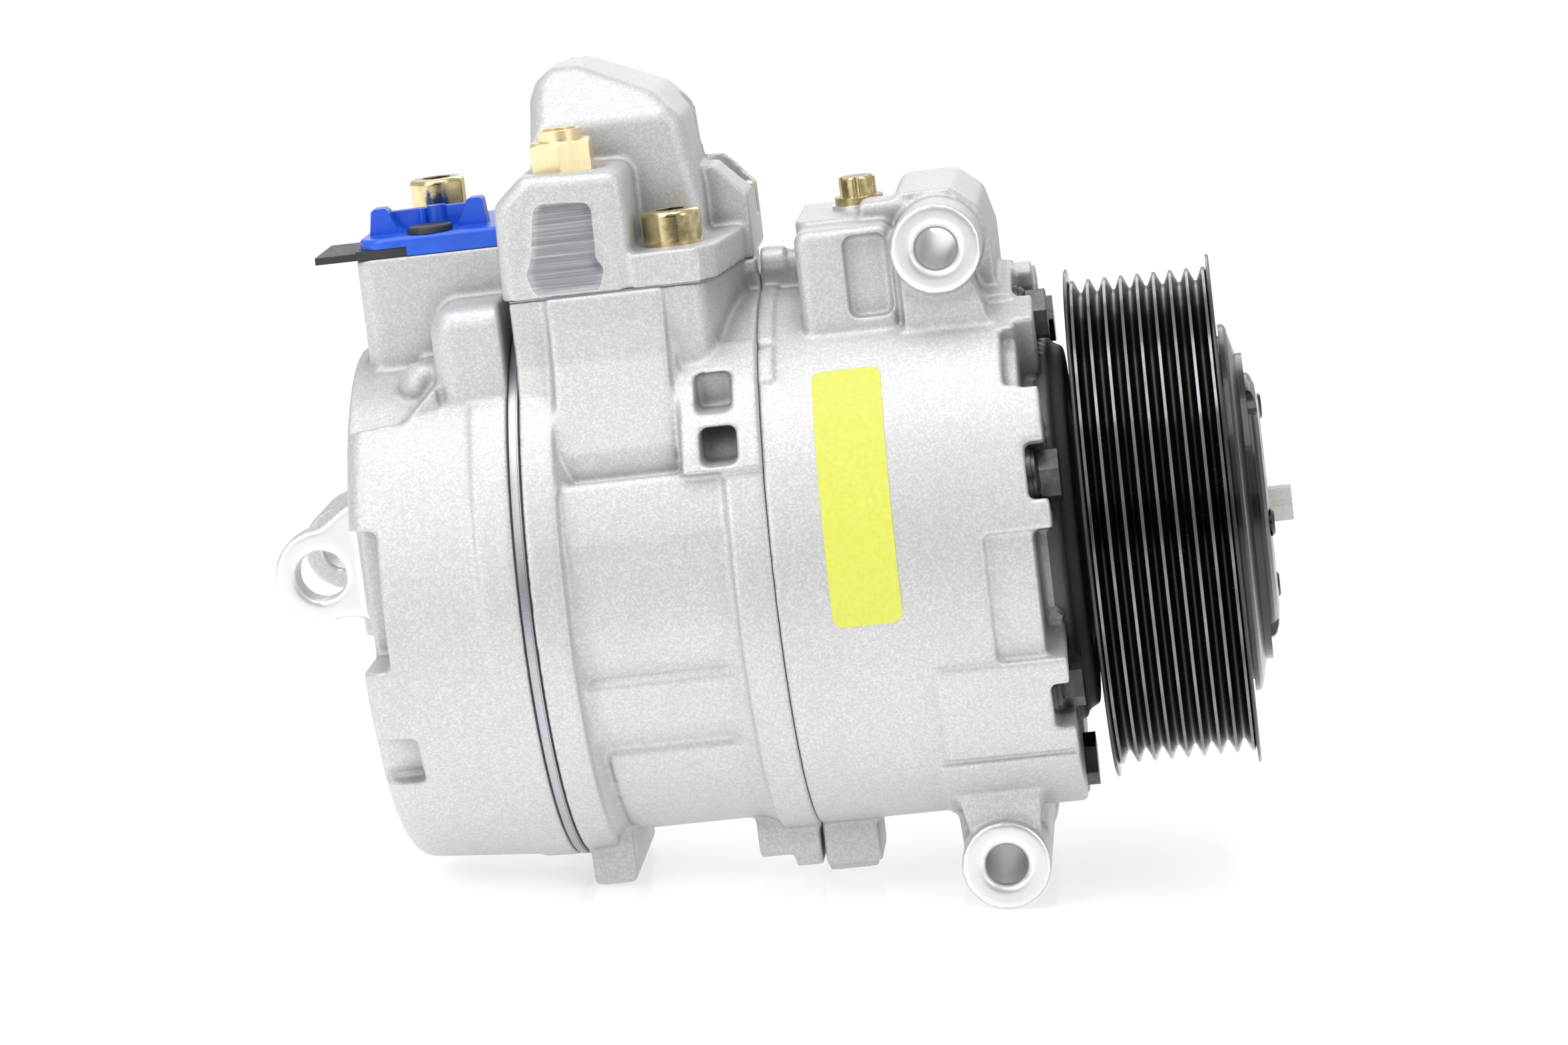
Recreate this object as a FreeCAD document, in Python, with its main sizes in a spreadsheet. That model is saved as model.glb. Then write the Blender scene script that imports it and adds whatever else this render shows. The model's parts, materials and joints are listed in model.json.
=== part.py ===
import FreeCAD, Part
import math
import os
import re

import Sketcher
from FreeCAD import Placement, Rotation, Vector

# Axial-piston refrigerant compressor with a ribbed belt pulley.
# Frame: +X runs along the shaft to the pulley, +Z is up, and -Y is the side that the
# mounting lugs face. The origin is on the shaft axis, at the middle of the belt track.
# All sizes are in millimetres and all angles in degrees. An angle about the shaft starts
# at the -Y side and turns up.

DRIVING = {
    # belt pulley and hub
    "rib_pitch": 3.56,
    "ridge_count": 9,
    "ridge_rad": 52.9,
    "groove_rad": 50.1,
    "flange_rad": 55.5,
    "pulley_half": 15.75,
    "pulley_inner": 44.0,
    "web_rear": -1.0,
    "web_front": 5.0,
    "hub_rad": 40.0,
    "hub_sleeve": 37.5,
    "hub_step_rad": 33.4,
    "hub_front": 20.6,
    "limiter_rad": 29.0,
    "limiter_front": 23.1,
    "rivet_circle": 23.0,
    # pulley bearing
    "bearing_bore": 20.0,
    "bearing_outer": 31.0,
    "bearing_rear": -12.5,
    "bearing_front": 8.5,
    "ball_rad": 2.9,
    "ball_circle": 25.5,
    "ball_count": 14,
    "ball_row": 5.5,
    # shaft
    "shaft_rad": 8.0,
    "shaft_tip": 28.2,
    "shaft_rear": -119.0,
    "hex_flats": 7.2,
    "thread_rad": 6.0,
    # housings along the shaft
    "rim_front": -22.2,
    "rim_floor": -26.3,
    "seam_front": -80.8,
    "block_rear": -131.6,
    "seam_rear": -134.1,
    "rear_face": -169.6,
    "body_rad": 59.0,
    "rear_rad": 60.3,
    "crankcase_rad": 46.8,
    "crankcase_front": -38.0,
    "nose_flange_rad": 40.5,
    "nose_flange_front": -17.6,
    "nose_tip": 11.0,
    "seal_bore": 15.0,
    "seal_bore_rear": -17.0,
    # through bolts
    "bolt_count": 7,
    "bolt_circle": 51.0,
    "bolt_phase": 21.9,
    "bolt_rad": 3.0,
    "bolt_hole": 3.3,
    "bolt_head_flats": 10.0,
    "bolt_head_front": -19.6,
    "bolt_end": -160.0,
    # cylinders and swash plate
    "cylinder_circle": 34.0,
    "cylinder_bore": 13.0,
    "piston_rad": 12.97,
    "plate_mid": -62.0,
    "plate_half": 3.0,
    "plate_rad": 42.0,
    "shoe_rad": 8.0,
    # bearings on the shaft
    "needle_rad": 1.48,
    "needle_circle": 9.5,
    "needle_count": 14,
    "shell_inner": 11.0,
    "shell_outer": 13.0,
    # mounting lugs
    "lug_face": -35.0,
    "lug_rad": 9.6,
    "lug_bore": 4.35,
    "front_lug_x": -40.7,
    "upper_lug_z": 67.4,
    "lower_lug_z": -66.0,
    "rear_lug_x": -179.2,
    "rear_lug_z": 12.2,
    "rear_lug_bore": 5.4,
    # manifold and ports
    "cover_seat": 66.3,
    "cover_gasket": 0.3,
    "tower_top": 76.5,
    "port_x": -149.5,
    "port_y": -3.0,
    "port_rad": 8.0,
    "screw_rad": 4.0,
    "screw_head_rad": 6.4,
    "cap_screw_x": -150.3,
    "cap_screw_y": 12.0,
    "cap_screw_head": 6.0,
    "cap_screw_seat": 82.4,
    "strap_thick": 2.0,
    "cap_thick": 2.2,
    "control_x": -158.5,
    "control_z": -26.0,
    "control_rad": 7.0,
}

doc = FreeCAD.newDocument("compressor")
sheet = doc.addObject("Spreadsheet::Sheet", "Dims")
for row, (alias, value) in enumerate(DRIVING.items(), start=1):
    sheet.set("A%d" % row, alias)
    sheet.set("B%d" % row, str(value))
    sheet.setAlias("B%d" % row, alias)
doc.recompute()

X_DIR = Vector(1, 0, 0)
Y_DIR = Vector(0, 1, 0)
Z_DIR = Vector(0, 0, 1)
AXIS = Vector(0, 0, 0)


def bound(text):
    """The expression with every alias written as a reference to the sheet."""
    def named(match):
        word = match.group(0)
        return "Dims." + word if word in DRIVING else word
    return re.sub(r"[a-z_][a-z_0-9]*", named, text)


def dim(text):
    """The value of an expression of the sheet's aliases."""
    return float(sheet.evalExpression(bound(text)))


# ---------------------------------------------------------------- document helpers

parts = []


def keep(item, label):
    """Gives a finished sub-part its label and puts it on the list of parts to write."""
    item.Label = label
    parts.append(item)
    return item


def origin_item(body, role):
    return [f for f in body.Origin.OriginFeatures if f.Role == role][0]


def new_sketch(body, name, plane):
    sketch = body.newObject("Sketcher::SketchObject", name)
    sketch.AttachmentSupport = [(origin_item(body, plane), "")]
    sketch.MapMode = "FlatFace"
    return sketch


def fix_point(sketch, line, end, x_text, y_text):
    """Holds one end of a line at a place given by two expressions."""
    for kind, text, axis in (("DistanceX", x_text, -2), ("DistanceY", y_text, -1)):
        value = dim(text)
        if abs(value) < 1e-9:
            sketch.addConstraint(Sketcher.Constraint("PointOnObject", line, end, axis))
        else:
            index = sketch.addConstraint(Sketcher.Constraint(kind, -1, 1, line, end, value))
            sketch.setExpression("Constraints[%d]" % index, bound(text))


def closed_outline(sketch, outline):
    """A closed, fully constrained outline of (x, y) expressions."""
    corners = [Vector(dim(x), dim(y), 0) for x, y in outline]
    count = len(corners)
    for i in range(count):
        sketch.addGeometry(Part.LineSegment(corners[i], corners[(i + 1) % count]), False)
    for i in range(count):
        sketch.addConstraint(Sketcher.Constraint("Coincident", i, 2, (i + 1) % count, 1))
    for i, (x_text, y_text) in enumerate(outline):
        fix_point(sketch, i, 1, x_text, y_text)


def turned(label, outline, offset="0"):
    """A body turned from (x, radius) expressions, about X or about a line offset along Y."""
    body = doc.addObject("PartDesign::Body", label)
    sketch = new_sketch(body, label + "_outline", "XY_Plane")
    turn = body.newObject("PartDesign::Revolution", label + "_turn")
    if offset == "0":
        closed_outline(sketch, outline)
        turn.ReferenceAxis = (origin_item(body, "X_Axis"), [""])
    else:
        closed_outline(sketch, [(x, "%s + %s" % (offset, r)) for x, r in outline])
        height = dim(offset)
        line = sketch.addGeometry(Part.LineSegment(Vector(1, height, 0), Vector(9, height, 0)), True)
        fix_point(sketch, line, 1, "1", offset)
        fix_point(sketch, line, 2, "9", offset)
        turn.ReferenceAxis = (sketch, ["Axis0"])
    turn.Profile = sketch
    turn.Angle = 360
    return keep(body, label)


def around(body, originals, count, name):
    """Repeats features evenly about the shaft axis."""
    pattern = body.newObject("PartDesign::PolarPattern", name)
    pattern.Originals = originals
    pattern.Axis = (origin_item(body, "X_Axis"), [""])
    pattern.Angle = 360
    pattern.Occurrences = count
    body.Tip = pattern
    return pattern


def drilled(body, name, circle, radius, count, phase):
    """Drills a ring of equal holes along X through a body."""
    sketch = new_sketch(body, name, "YZ_Plane")
    y_text = "-(%s) * cos(%s)" % (circle, phase)
    z_text = "(%s) * sin(%s)" % (circle, phase)
    middle = Vector(dim(y_text), dim(z_text), 0)
    hole = sketch.addGeometry(Part.Circle(middle, Z_DIR, dim(radius)), False)
    fix_point(sketch, hole, 3, y_text, z_text)
    index = sketch.addConstraint(Sketcher.Constraint("Radius", hole, dim(radius)))
    sketch.setExpression("Constraints[%d]" % index, bound(radius))
    pocket = body.newObject("PartDesign::Pocket", name + "_cut")
    pocket.Profile = sketch
    pocket.Type = "ThroughAll"
    pocket.Midplane = True
    around(body, [pocket], count, name + "_ring")


def hexagon_pad(body, name, start, length, flats, offset="0"):
    """A hexagon head along X, from a station to a station plus its length."""
    sketch = new_sketch(body, name, "YZ_Plane")
    sketch.AttachmentOffset = Placement(Vector(0, 0, dim(start)), Rotation())
    sketch.setExpression("AttachmentOffset.Base.z", bound(start))
    corner = "(%s) / sqrt(3)" % flats
    outline = []
    for turn in range(0, 360, 60):
        outline.append(("%s + (%s) * cos(%d)" % (offset, corner, turn), "(%s) * sin(%d)" % (corner, turn)))
    closed_outline(sketch, outline)
    pad = body.newObject("PartDesign::Pad", name + "_pad")
    pad.Profile = sketch
    pad.Length = dim(length)
    pad.setExpression("Length", bound(length))
    return pad


def bound_item(kind, label, **sizes):
    """A Part primitive whose properties are bound to the sheet."""
    item = doc.addObject(kind, label)
    for name, text in sizes.items():
        item.setExpression(name.replace("__", "."), bound(text))
    return item


def part_feature(label, shape):
    """A sub-part whose form is worked out with Part's own functions."""
    item = doc.addObject("Part::Feature", label)
    item.Shape = shape
    item.Placement = shape.Placement
    return keep(item, label)


# ---------------------------------------------------------------- shape helpers

def block(x0, x1, y0, y1, z0, z1):
    return Part.makeBox(x1 - x0, y1 - y0, z1 - z0, Vector(x0, y0, z0))


def rod_x(x0, x1, radius, y=0.0, z=0.0):
    return Part.makeCylinder(radius, x1 - x0, Vector(x0, y, z), X_DIR)


def rod_y(y0, y1, radius, x, z):
    return Part.makeCylinder(radius, y1 - y0, Vector(x, y0, z), Y_DIR)


def rod_z(z0, z1, radius, x, y):
    return Part.makeCylinder(radius, z1 - z0, Vector(x, y, z0), Z_DIR)


def cone_x(x0, x1, r0, r1, y=0.0, z=0.0):
    return Part.makeCone(r0, r1, x1 - x0, Vector(x0, y, z), X_DIR)


def tube_x(x0, x1, inner, outer):
    return rod_x(x0, x1, outer).cut(rod_x(x0 - 1, x1 + 1, inner))


def polar(radius, angle):
    """The (y, z) place at a radius and an angle about the shaft."""
    a = math.radians(angle)
    return -radius * math.cos(a), radius * math.sin(a)


def spun(shape, angle):
    """A copy turned about the shaft by an angle, up on the -Y side."""
    copy = shape.copy()
    copy.rotate(AXIS, X_DIR, -angle)
    return copy


def ring_of(shape, angles):
    """Copies of a shape made at angle 0, set at each of the angles."""
    return Part.makeCompound([spun(shape, a) for a in angles])


def sector(x0, x1, inner, outer, start, end):
    """A piece of a tube along X between two angles."""
    reach = outer / math.cos(math.radians(end - start) / 2) + 1
    edge = [Vector(x0, 0, 0)]
    for angle in (start, end):
        y, z = polar(reach, angle)
        edge.append(Vector(x0, y, z))
    wedge = Part.Face(Part.makePolygon(edge + edge[:1])).extrude(Vector(x1 - x0, 0, 0))
    piece = wedge.common(rod_x(x0, x1, outer))
    return piece.cut(rod_x(x0 - 1, x1 + 1, inner)) if inner > 0 else piece


def prism_y(points, y0, y1):
    """A straight body with an outline of (x, z) points, from y0 to y1."""
    corners = [Vector(x, y0, z) for x, z in points]
    return Part.Face(Part.makePolygon(corners + corners[:1])).extrude(Vector(0, y1 - y0, 0))


def barrel_pad(x0, x1, inner, corners):
    """A pad round the shaft whose outer edge eases between (angle, radius) corners."""
    outline = []
    for (a0, r0), (a1, r1) in zip(corners, corners[1:]):
        steps = max(1, round(abs(a1 - a0) / 3))
        for i in range(steps):
            outline.append(polar(r0 + (r1 - r0) * i / steps, a0 + (a1 - a0) * i / steps))
    first, last = corners[0][0], corners[-1][0]
    outline += [polar(corners[-1][1], last), polar(inner, last), polar(inner, first)]
    edge = [Vector(x0, y, z) for y, z in outline]
    return Part.Face(Part.makePolygon(edge + edge[:1])).extrude(Vector(x1 - x0, 0, 0))


def prism_z(points, z0, z1):
    """A straight body with an outline of (x, y) points, from z0 to z1."""
    corners = [Vector(x, y, z0) for x, y in points]
    return Part.Face(Part.makePolygon(corners + corners[:1])).extrude(Vector(0, 0, z1 - z0))


def hexagon_z(z0, z1, flats, x, y):
    """A hexagon along Z that points one corner at the -Y side."""
    corner = flats / math.sqrt(3)
    points = []
    for turn in range(0, 360, 60):
        a = math.radians(turn)
        points.append((x + corner * math.sin(a), y - corner * math.cos(a)))
    return prism_z(points, z0, z1)


def along(edge, direction):
    """True for a straight edge that runs along a direction."""
    return isinstance(edge.Curve, Part.Line) and abs(edge.Curve.Direction.dot(direction)) > 0.999


def rounded(shape, radius, pick):
    """The shape with the picked edges rounded; edges that can't take the radius stay sharp."""
    edges = [e for e in shape.Edges if pick(e)]
    try:
        result = shape.makeFillet(radius, edges)
    except Part.OCCError:
        return shape
    return result if result.isValid() and result.Volume > 0 else shape


def joined(first, *others):
    return first.multiFuse(list(others)).removeSplitter()


def coil_spring(x0, x1, radius, wire, turns, runs=16):
    """A coil spring about the shaft axis between two stations, bent from short straight runs."""
    steps = int(turns * runs)
    length = x1 - x0 - 2.2 * wire
    points = []
    for i in range(steps + 1):
        y, z = polar(radius, 360.0 * i / runs)
        points.append(Vector(x0 + 1.1 * wire + length * i / steps, y, z))
    section = Part.Wire(Part.makeCircle(wire, points[0], points[1] - points[0]))
    return Part.Wire(Part.makePolygon(points).Edges).makePipeShell([section], True, True, 1)


def moved(shape, x, y, z):
    copy = shape.copy()
    copy.translate(Vector(x, y, z))
    return copy


def upright(shape):
    """A shape made along X, turned to run along Z."""
    copy = shape.copy()
    copy.rotate(AXIS, Y_DIR, -90)
    return copy


BOLT_COUNT = int(dim("bolt_count"))
BOLT_ANGLES = [dim("bolt_phase") + k * 360.0 / BOLT_COUNT for k in range(BOLT_COUNT)]
CYLINDER_ANGLES = [a + 180.0 / BOLT_COUNT for a in BOLT_ANGLES]


def bolt_holes(x0, x1, radius):
    return ring_of(rod_x(x0, x1, radius, -dim("bolt_circle"), 0), BOLT_ANGLES)


# ================================================================ pulley and hub

# One V rib of the belt track is a narrow ridge with a valley behind it.
track = []
last = int(dim("ridge_count")) // 2
for k in range(last, -last - 1, -1):
    ridge = "%d * rib_pitch" % k
    track.append((ridge + " + 0.3", "ridge_rad"))
    track.append((ridge + " - 0.3", "ridge_rad"))
    if k > -last:
        track.append((ridge + " - rib_pitch / 2 + 0.25", "groove_rad"))
        track.append((ridge + " - rib_pitch / 2 - 0.25", "groove_rad"))

turned("pulley", [
    ("bearing_rear", "bearing_outer"),
    ("bearing_front", "bearing_outer"),
    ("bearing_front", "bearing_outer - 1"),
    ("bearing_front + 0.8", "bearing_outer - 1"),
    ("bearing_front + 0.8", "bearing_outer + 2.5"),
    ("web_front", "bearing_outer + 2.5"),
    ("web_front", "pulley_inner"),
    ("pulley_half - 2", "pulley_inner"),
    ("pulley_half", "pulley_inner + 2"),
    ("pulley_half", "flange_rad - 0.4"),
    ("pulley_half - 0.3", "flange_rad"),
    ("pulley_half - 0.7", "flange_rad"),
    ("4 * rib_pitch + 0.6", "ridge_rad - 1"),
] + track + [
    ("-4 * rib_pitch - 0.6", "ridge_rad - 1"),
    ("0.7 - pulley_half", "flange_rad"),
    ("0.3 - pulley_half", "flange_rad"),
    ("-pulley_half", "flange_rad - 0.4"),
    ("-pulley_half", "pulley_inner + 2"),
    ("2 - pulley_half", "pulley_inner"),
    ("web_rear", "pulley_inner"),
    ("web_rear", "bearing_outer + 2.5"),
    ("bearing_rear", "bearing_outer + 2.5"),
])

# Rubber damper, bonded between the pulley's bowl and the sleeve of the hub.
turned("damper_ring", [
    ("web_front + 0.2", "hub_sleeve"),
    ("pulley_half - 3", "hub_sleeve"),
    ("pulley_half - 4", "pulley_inner - 3"),
    ("pulley_half - 3", "pulley_inner"),
    ("web_front + 0.2", "pulley_inner"),
])

# Hub: a pressed cup with a conical shoulder and a sleeve inside the damper.
hub = turned("hub_plate", [
    ("web_front + 1", "hub_sleeve - 3"),
    ("pulley_half + 0.1", "hub_sleeve - 3"),
    ("hub_front - 2", "hub_step_rad - 2.5"),
    ("hub_front - 2", "12"),
    ("hub_front", "12"),
    ("hub_front", "hub_step_rad"),
    ("hub_front - 1.4", "hub_step_rad"),
    ("pulley_half + 2.0", "hub_rad - 0.8"),
    ("pulley_half + 1.4", "hub_rad"),
    ("pulley_half + 0.3", "hub_rad"),
    ("pulley_half + 0.3", "hub_sleeve"),
    ("web_front + 1", "hub_sleeve"),
])
drilled(hub, "rivet_holes", "rivet_circle", "2", 3, "0")

# Torque limiter: a domed plate with three notches in its edge and a threaded boss.
limiter = turned("limiter_plate", [
    ("pulley_half - 2", "thread_rad"),
    ("limiter_front", "thread_rad"),
    ("limiter_front", "limiter_rad - 6"),
    ("limiter_front - 0.5", "limiter_rad - 2.4"),
    ("limiter_front - 1.3", "limiter_rad - 0.5"),
    ("hub_front + 0.6", "limiter_rad"),
    ("hub_front", "limiter_rad"),
    ("hub_front", "11.5"),
    ("pulley_half - 2", "11.5"),
])
drilled(limiter, "edge_notches", "limiter_rad + 2.5", "5", 3, "60")
drilled(limiter, "limiter_holes", "rivet_circle", "2", 3, "0")

rivets = turned("hub_rivets", [
    ("hub_front - 3", "0"),
    ("hub_front - 3", "2.8"),
    ("hub_front - 2", "3.2"),
    ("hub_front - 2", "2"),
    ("limiter_front", "2"),
    ("limiter_front", "3"),
    ("limiter_front + 0.7", "2.4"),
    ("limiter_front + 0.7", "0"),
], offset="rivet_circle")
around(rivets, [doc.getObject("hub_rivets_turn")], 3, "rivet_ring")
rivets.Placement = Placement(AXIS, Rotation(X_DIR, 180))

# ================================================================ pulley bearing

RACE = "ball_rad + 0.05"
for label, inner, outer in (("bearing_inner_ring", "bearing_bore", "ball_circle - 2.2"),
                            ("bearing_outer_ring", "ball_circle + 2.2", "bearing_outer")):
    ring = tube_x(dim("bearing_rear"), dim("bearing_front"), dim(inner), dim(outer))
    middle = dim("(bearing_rear + bearing_front) / 2")
    for side in (-1, 1):
        centre = Vector(middle + side * dim("ball_row"), 0, 0)
        race = Part.makeTorus(dim("ball_circle"), dim(RACE), centre, X_DIR)
        ring = ring.cut(race)
    part_feature(label, ring)

ball_step = 360.0 / dim("ball_count")
ball_angles = [k * ball_step for k in range(int(dim("ball_count")))]
ball_stations = [dim("(bearing_rear + bearing_front) / 2") + side * dim("ball_row") for side in (-1, 1)]
balls = [ring_of(Part.makeSphere(dim("ball_rad"), Vector(x, -dim("ball_circle"), 0)), ball_angles)
         for x in ball_stations]
part_feature("bearing_balls", Part.makeCompound([solid for row in balls for solid in row.Solids]))
cages = []
for x, row in zip(ball_stations, balls):
    cage = tube_x(x - 3.6, x + 3.6, dim("ball_circle") - 0.8, dim("ball_circle") + 0.8)
    pocket = Part.makeSphere(dim("ball_rad") + 0.1, Vector(x, -dim("ball_circle"), 0))
    cages.append(cage.cut(ring_of(pocket, ball_angles)))
part_feature("bearing_cages", Part.makeCompound([solid for cage in cages for solid in cage.Solids]))

# ================================================================ shaft and swash plate

shaft = turned("drive_shaft", [
    ("shaft_rear", "0"),
    ("shaft_rear", "shaft_rad - 1"),
    ("shaft_rear + 1", "shaft_rad"),
    ("seam_front - 1.5", "shaft_rad"),
    ("seam_front - 1.5", "shaft_rad - 0.8"),
    ("seam_front - 0.2", "shaft_rad - 0.8"),
    ("seam_front - 0.2", "shaft_rad"),
    ("nose_tip - 8", "shaft_rad"),
    ("nose_tip - 6", "shaft_rad - 1.2"),
    ("pulley_half - 2.2", "shaft_rad - 1.2"),
    ("pulley_half - 2.2", "thread_rad"),
    ("limiter_front", "thread_rad"),
    ("limiter_front", "0"),
])
hexagon_pad(shaft, "hex_tip", "limiter_front", "shaft_tip - limiter_front", "hex_flats")

EAR_INNER, EAR_OUTER = 13.6, 25.0
arm_gap = 4.5
hinge_x = -55.0
hinge_z = 19.5


def hinge_ear(x0, x1, y0, y1):
    """A hinge ear inside the ring that the pistons leave free."""
    return block(x0, x1, y0, y1, 12.0, 26.0).common(tube_x(x0, x1, EAR_INNER, EAR_OUTER))


lug_rear = dim("plate_mid") + 12.5
lug_front = dim("crankcase_front") - 4
lug_disc = rod_x(lug_rear, lug_front, 38.0).cut(rod_x(lug_rear - 1, lug_front + 1, dim("shaft_rad")))
for angle in (45, 135, 225, 315):
    y, z = polar(27.0, angle)
    lug_disc = lug_disc.cut(rod_x(lug_rear - 1, lug_front + 1, 4.0, y, z))
arms = [hinge_ear(hinge_x - 2.8, lug_rear, arm_gap, 9.0), hinge_ear(hinge_x - 2.8, lug_rear, -9.0, -arm_gap)]
pin_bore = rod_y(-12, 12, 2.0, hinge_x, hinge_z)
part_feature("lug_plate", joined(lug_disc, *arms).cut(pin_bore))

plate_rear = dim("plate_mid - plate_half")
plate_front = dim("plate_mid + plate_half")
swash = joined(rod_x(plate_rear, plate_front, dim("plate_rad")), rod_x(plate_rear - 3, hinge_x, 12.8))
swash = joined(swash, hinge_ear(plate_front - 0.5, hinge_x + 2.8, -arm_gap + 0.2, arm_gap - 0.2))
swash = swash.cut(rod_x(-80, -50, dim("shaft_rad") + 0.02)).cut(pin_bore)
part_feature("swash_plate", swash)
pin = bound_item("Part::Cylinder", "hinge_pin", Radius="2", Height="18")
pin.Placement = Placement(Vector(hinge_x, -9, hinge_z), Rotation(X_DIR, -90))
keep(pin, "hinge_pin")

part_feature("destroke_spring", coil_spring(hinge_x + 0.02, lug_rear - 0.02, 10.4, 0.9, 1.5))
part_feature("return_spring", coil_spring(dim("seam_front") - 0.1, plate_rear - 3.02, 10.4, 0.9, 4))
turned("shaft_circlip", [
    ("seam_front - 1.4", "shaft_rad - 0.8"),
    ("seam_front - 0.3", "shaft_rad - 0.8"),
    ("seam_front - 0.3", "shaft_rad + 3.4"),
    ("seam_front - 1.4", "shaft_rad + 3.4"),
])

# ================================================================ pistons and shoes

ring_x = dim("cylinder_circle")
crown = dim("block_rear") + 0.8
skirt_end = -98.0
bridge_rear = dim("plate_mid") - 9.0
bridge_front = dim("plate_mid") + 11.5
head = rod_x(crown, skirt_end, dim("piston_rad"), -ring_x, 0)
for groove_x in (crown + 3, crown + 7):
    groove = rod_x(groove_x, groove_x + 1.6, dim("piston_rad") + 1, -ring_x, 0)
    head = head.cut(groove.cut(rod_x(groove_x - 1, groove_x + 3, dim("piston_rad") - 0.5, -ring_x, 0)))
beam = block(skirt_end - 1, bridge_rear + 2, -ring_x - 12.5, -ring_x - 1, -6, 6)
beam = beam.common(rod_x(skirt_end - 2, bridge_rear + 3, dim("piston_rad") - 0.1, -ring_x, 0))
bridge = block(bridge_rear, bridge_front, -dim("crankcase_rad"), -27.0, -8.5, 8.5)
bridge = bridge.common(rod_x(bridge_rear - 1, bridge_front + 1, dim("crankcase_rad") - 0.4))
piston = joined(head, beam, bridge)
piston = piston.cut(rod_x(plate_rear - 0.35, plate_front + 0.35, dim("plate_rad") + 0.6))
piston = piston.cut(Part.makeSphere(dim("shoe_rad") + 0.03, Vector(dim("plate_mid"), -ring_x, 0)))
part_feature("pistons", ring_of(piston, CYLINDER_ANGLES))

ball = Part.makeSphere(dim("shoe_rad"), Vector(dim("plate_mid"), -ring_x, 0))
film = 0.05
rear_shoe = ball.common(block(plate_rear - 10, plate_rear - film, -60, 0, -20, 20))
front_shoe = ball.common(block(plate_front + film, plate_front + 10, -60, 0, -20, 20))
shoes = [s for shape in (rear_shoe, front_shoe) for s in ring_of(shape, CYLINDER_ANGLES).Solids]
part_feature("shoes", Part.makeCompound(shoes))

# ================================================================ shaft bearings and seal

for name, x0, x1 in (("front", -37.5, -24.5), ("rear", -118.0, -104.0)):
    turned(name + "_needle_shell", [
        ("%g" % x0, "shaft_rad + 0.4"),
        ("%g" % (x0 + 0.8), "shaft_rad + 0.4"),
        ("%g" % (x0 + 0.8), "shell_inner"),
        ("%g" % (x1 - 0.8), "shell_inner"),
        ("%g" % (x1 - 0.8), "shaft_rad + 0.4"),
        ("%g" % x1, "shaft_rad + 0.4"),
        ("%g" % x1, "shell_outer"),
        ("%g" % x0, "shell_outer"),
    ])
    needles = turned(name + "_needles", [
        ("%g" % (x0 + 1.1), "0"),
        ("%g" % (x1 - 1.1), "0"),
        ("%g" % (x1 - 1.1), "needle_rad"),
        ("%g" % (x0 + 1.1), "needle_rad"),
    ], offset="needle_circle")
    around(needles, [doc.getObject(name + "_needles_turn")], int(dim("needle_count")), name + "_needle_ring")

# Thrust bearing: a race on the housing wall, radial rollers, and a race on the lug plate.
tube_rows = (("thrust_race_fixed", "crankcase_front - 1", "crankcase_front"),
             ("thrust_race_turning", "crankcase_front - 4", "crankcase_front - 3"))
for label, x0, x1 in tube_rows:
    turned(label, [(x0, "15"), (x1, "15"), (x1, "27"), (x0, "27")])
roller = Part.makeCylinder(0.97, 9.0, Vector(dim("crankcase_front") - 2, -16.5, 0), Vector(0, -1, 0))
part_feature("thrust_rollers", ring_of(roller, [k * 15 for k in range(24)]))

turned("shaft_end_washer", [
    ("shaft_rear - 1.6", "0"),
    ("shaft_rear - 0.1", "0"),
    ("shaft_rear - 0.1", "12"),
    ("shaft_rear - 1.6", "12"),
])
turned("shaft_seal", [
    ("seal_bore_rear + 0.1", "shaft_rad + 0.05"),
    ("seal_bore_rear + 3", "shaft_rad + 0.05"),
    ("seal_bore_rear + 5", "shaft_rad + 1.5"),
    ("seal_bore_rear + 8", "shaft_rad + 1.5"),
    ("seal_bore_rear + 10", "shaft_rad + 0.05"),
    ("seal_bore_rear + 10", "seal_bore"),
    ("seal_bore_rear + 0.1", "seal_bore"),
])
# Two snap rings: one holds the seal in its bore, one holds the pulley bearing on the nose.
seal_clip = tube_x(dim("seal_bore_rear") + 10.1, dim("seal_bore_rear") + 11.3, dim("shaft_rad") + 3,
                   dim("seal_bore") + 0.75)
bearing_clip = tube_x(dim("bearing_front") + 0.1, dim("bearing_front") + 1.3, dim("bearing_bore") - 0.75,
                      dim("bearing_bore") + 1.8)
clips = [clip.cut(block(-30, 20, -60, 0, -2.5, 2.5)) for clip in (seal_clip, bearing_clip)]
part_feature("nose_circlips", Part.makeCompound([clip.Solids[0] for clip in clips]))

# ================================================================ bolts, plates and gaskets

bolts = turned("through_bolts", [
    ("bolt_end", "0"),
    ("bolt_end", "bolt_rad - 0.6"),
    ("bolt_end + 0.6", "bolt_rad"),
    ("rim_floor + 1", "bolt_rad"),
    ("rim_floor + 1", "6.3"),
    ("rim_floor + 1.8", "6.3"),
    ("rim_floor + 2.6", "5.2"),
    ("rim_floor + 2.6", "0"),
], offset="bolt_circle")
heads = hexagon_pad(bolts, "bolt_hex", "rim_floor + 2.5", "bolt_head_front - rim_floor - 2.5",
                    "bolt_head_flats", offset="bolt_circle")
around(bolts, [doc.getObject("through_bolts_turn"), heads], BOLT_COUNT, "bolt_ring")
washers = turned("bolt_washers", [
    ("rim_floor", "bolt_hole"),
    ("rim_floor + 1", "bolt_hole"),
    ("rim_floor + 1", "6.8"),
    ("rim_floor", "6.8"),
], offset="bolt_circle")
around(washers, [doc.getObject("bolt_washers_turn")], BOLT_COUNT, "washer_ring")
for body in (bolts, washers):
    body.Placement = Placement(AXIS, Rotation(X_DIR, 180 - dim("bolt_phase")))
    body.setExpression("Placement.Rotation.Angle", bound("180 - bolt_phase"))

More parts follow.
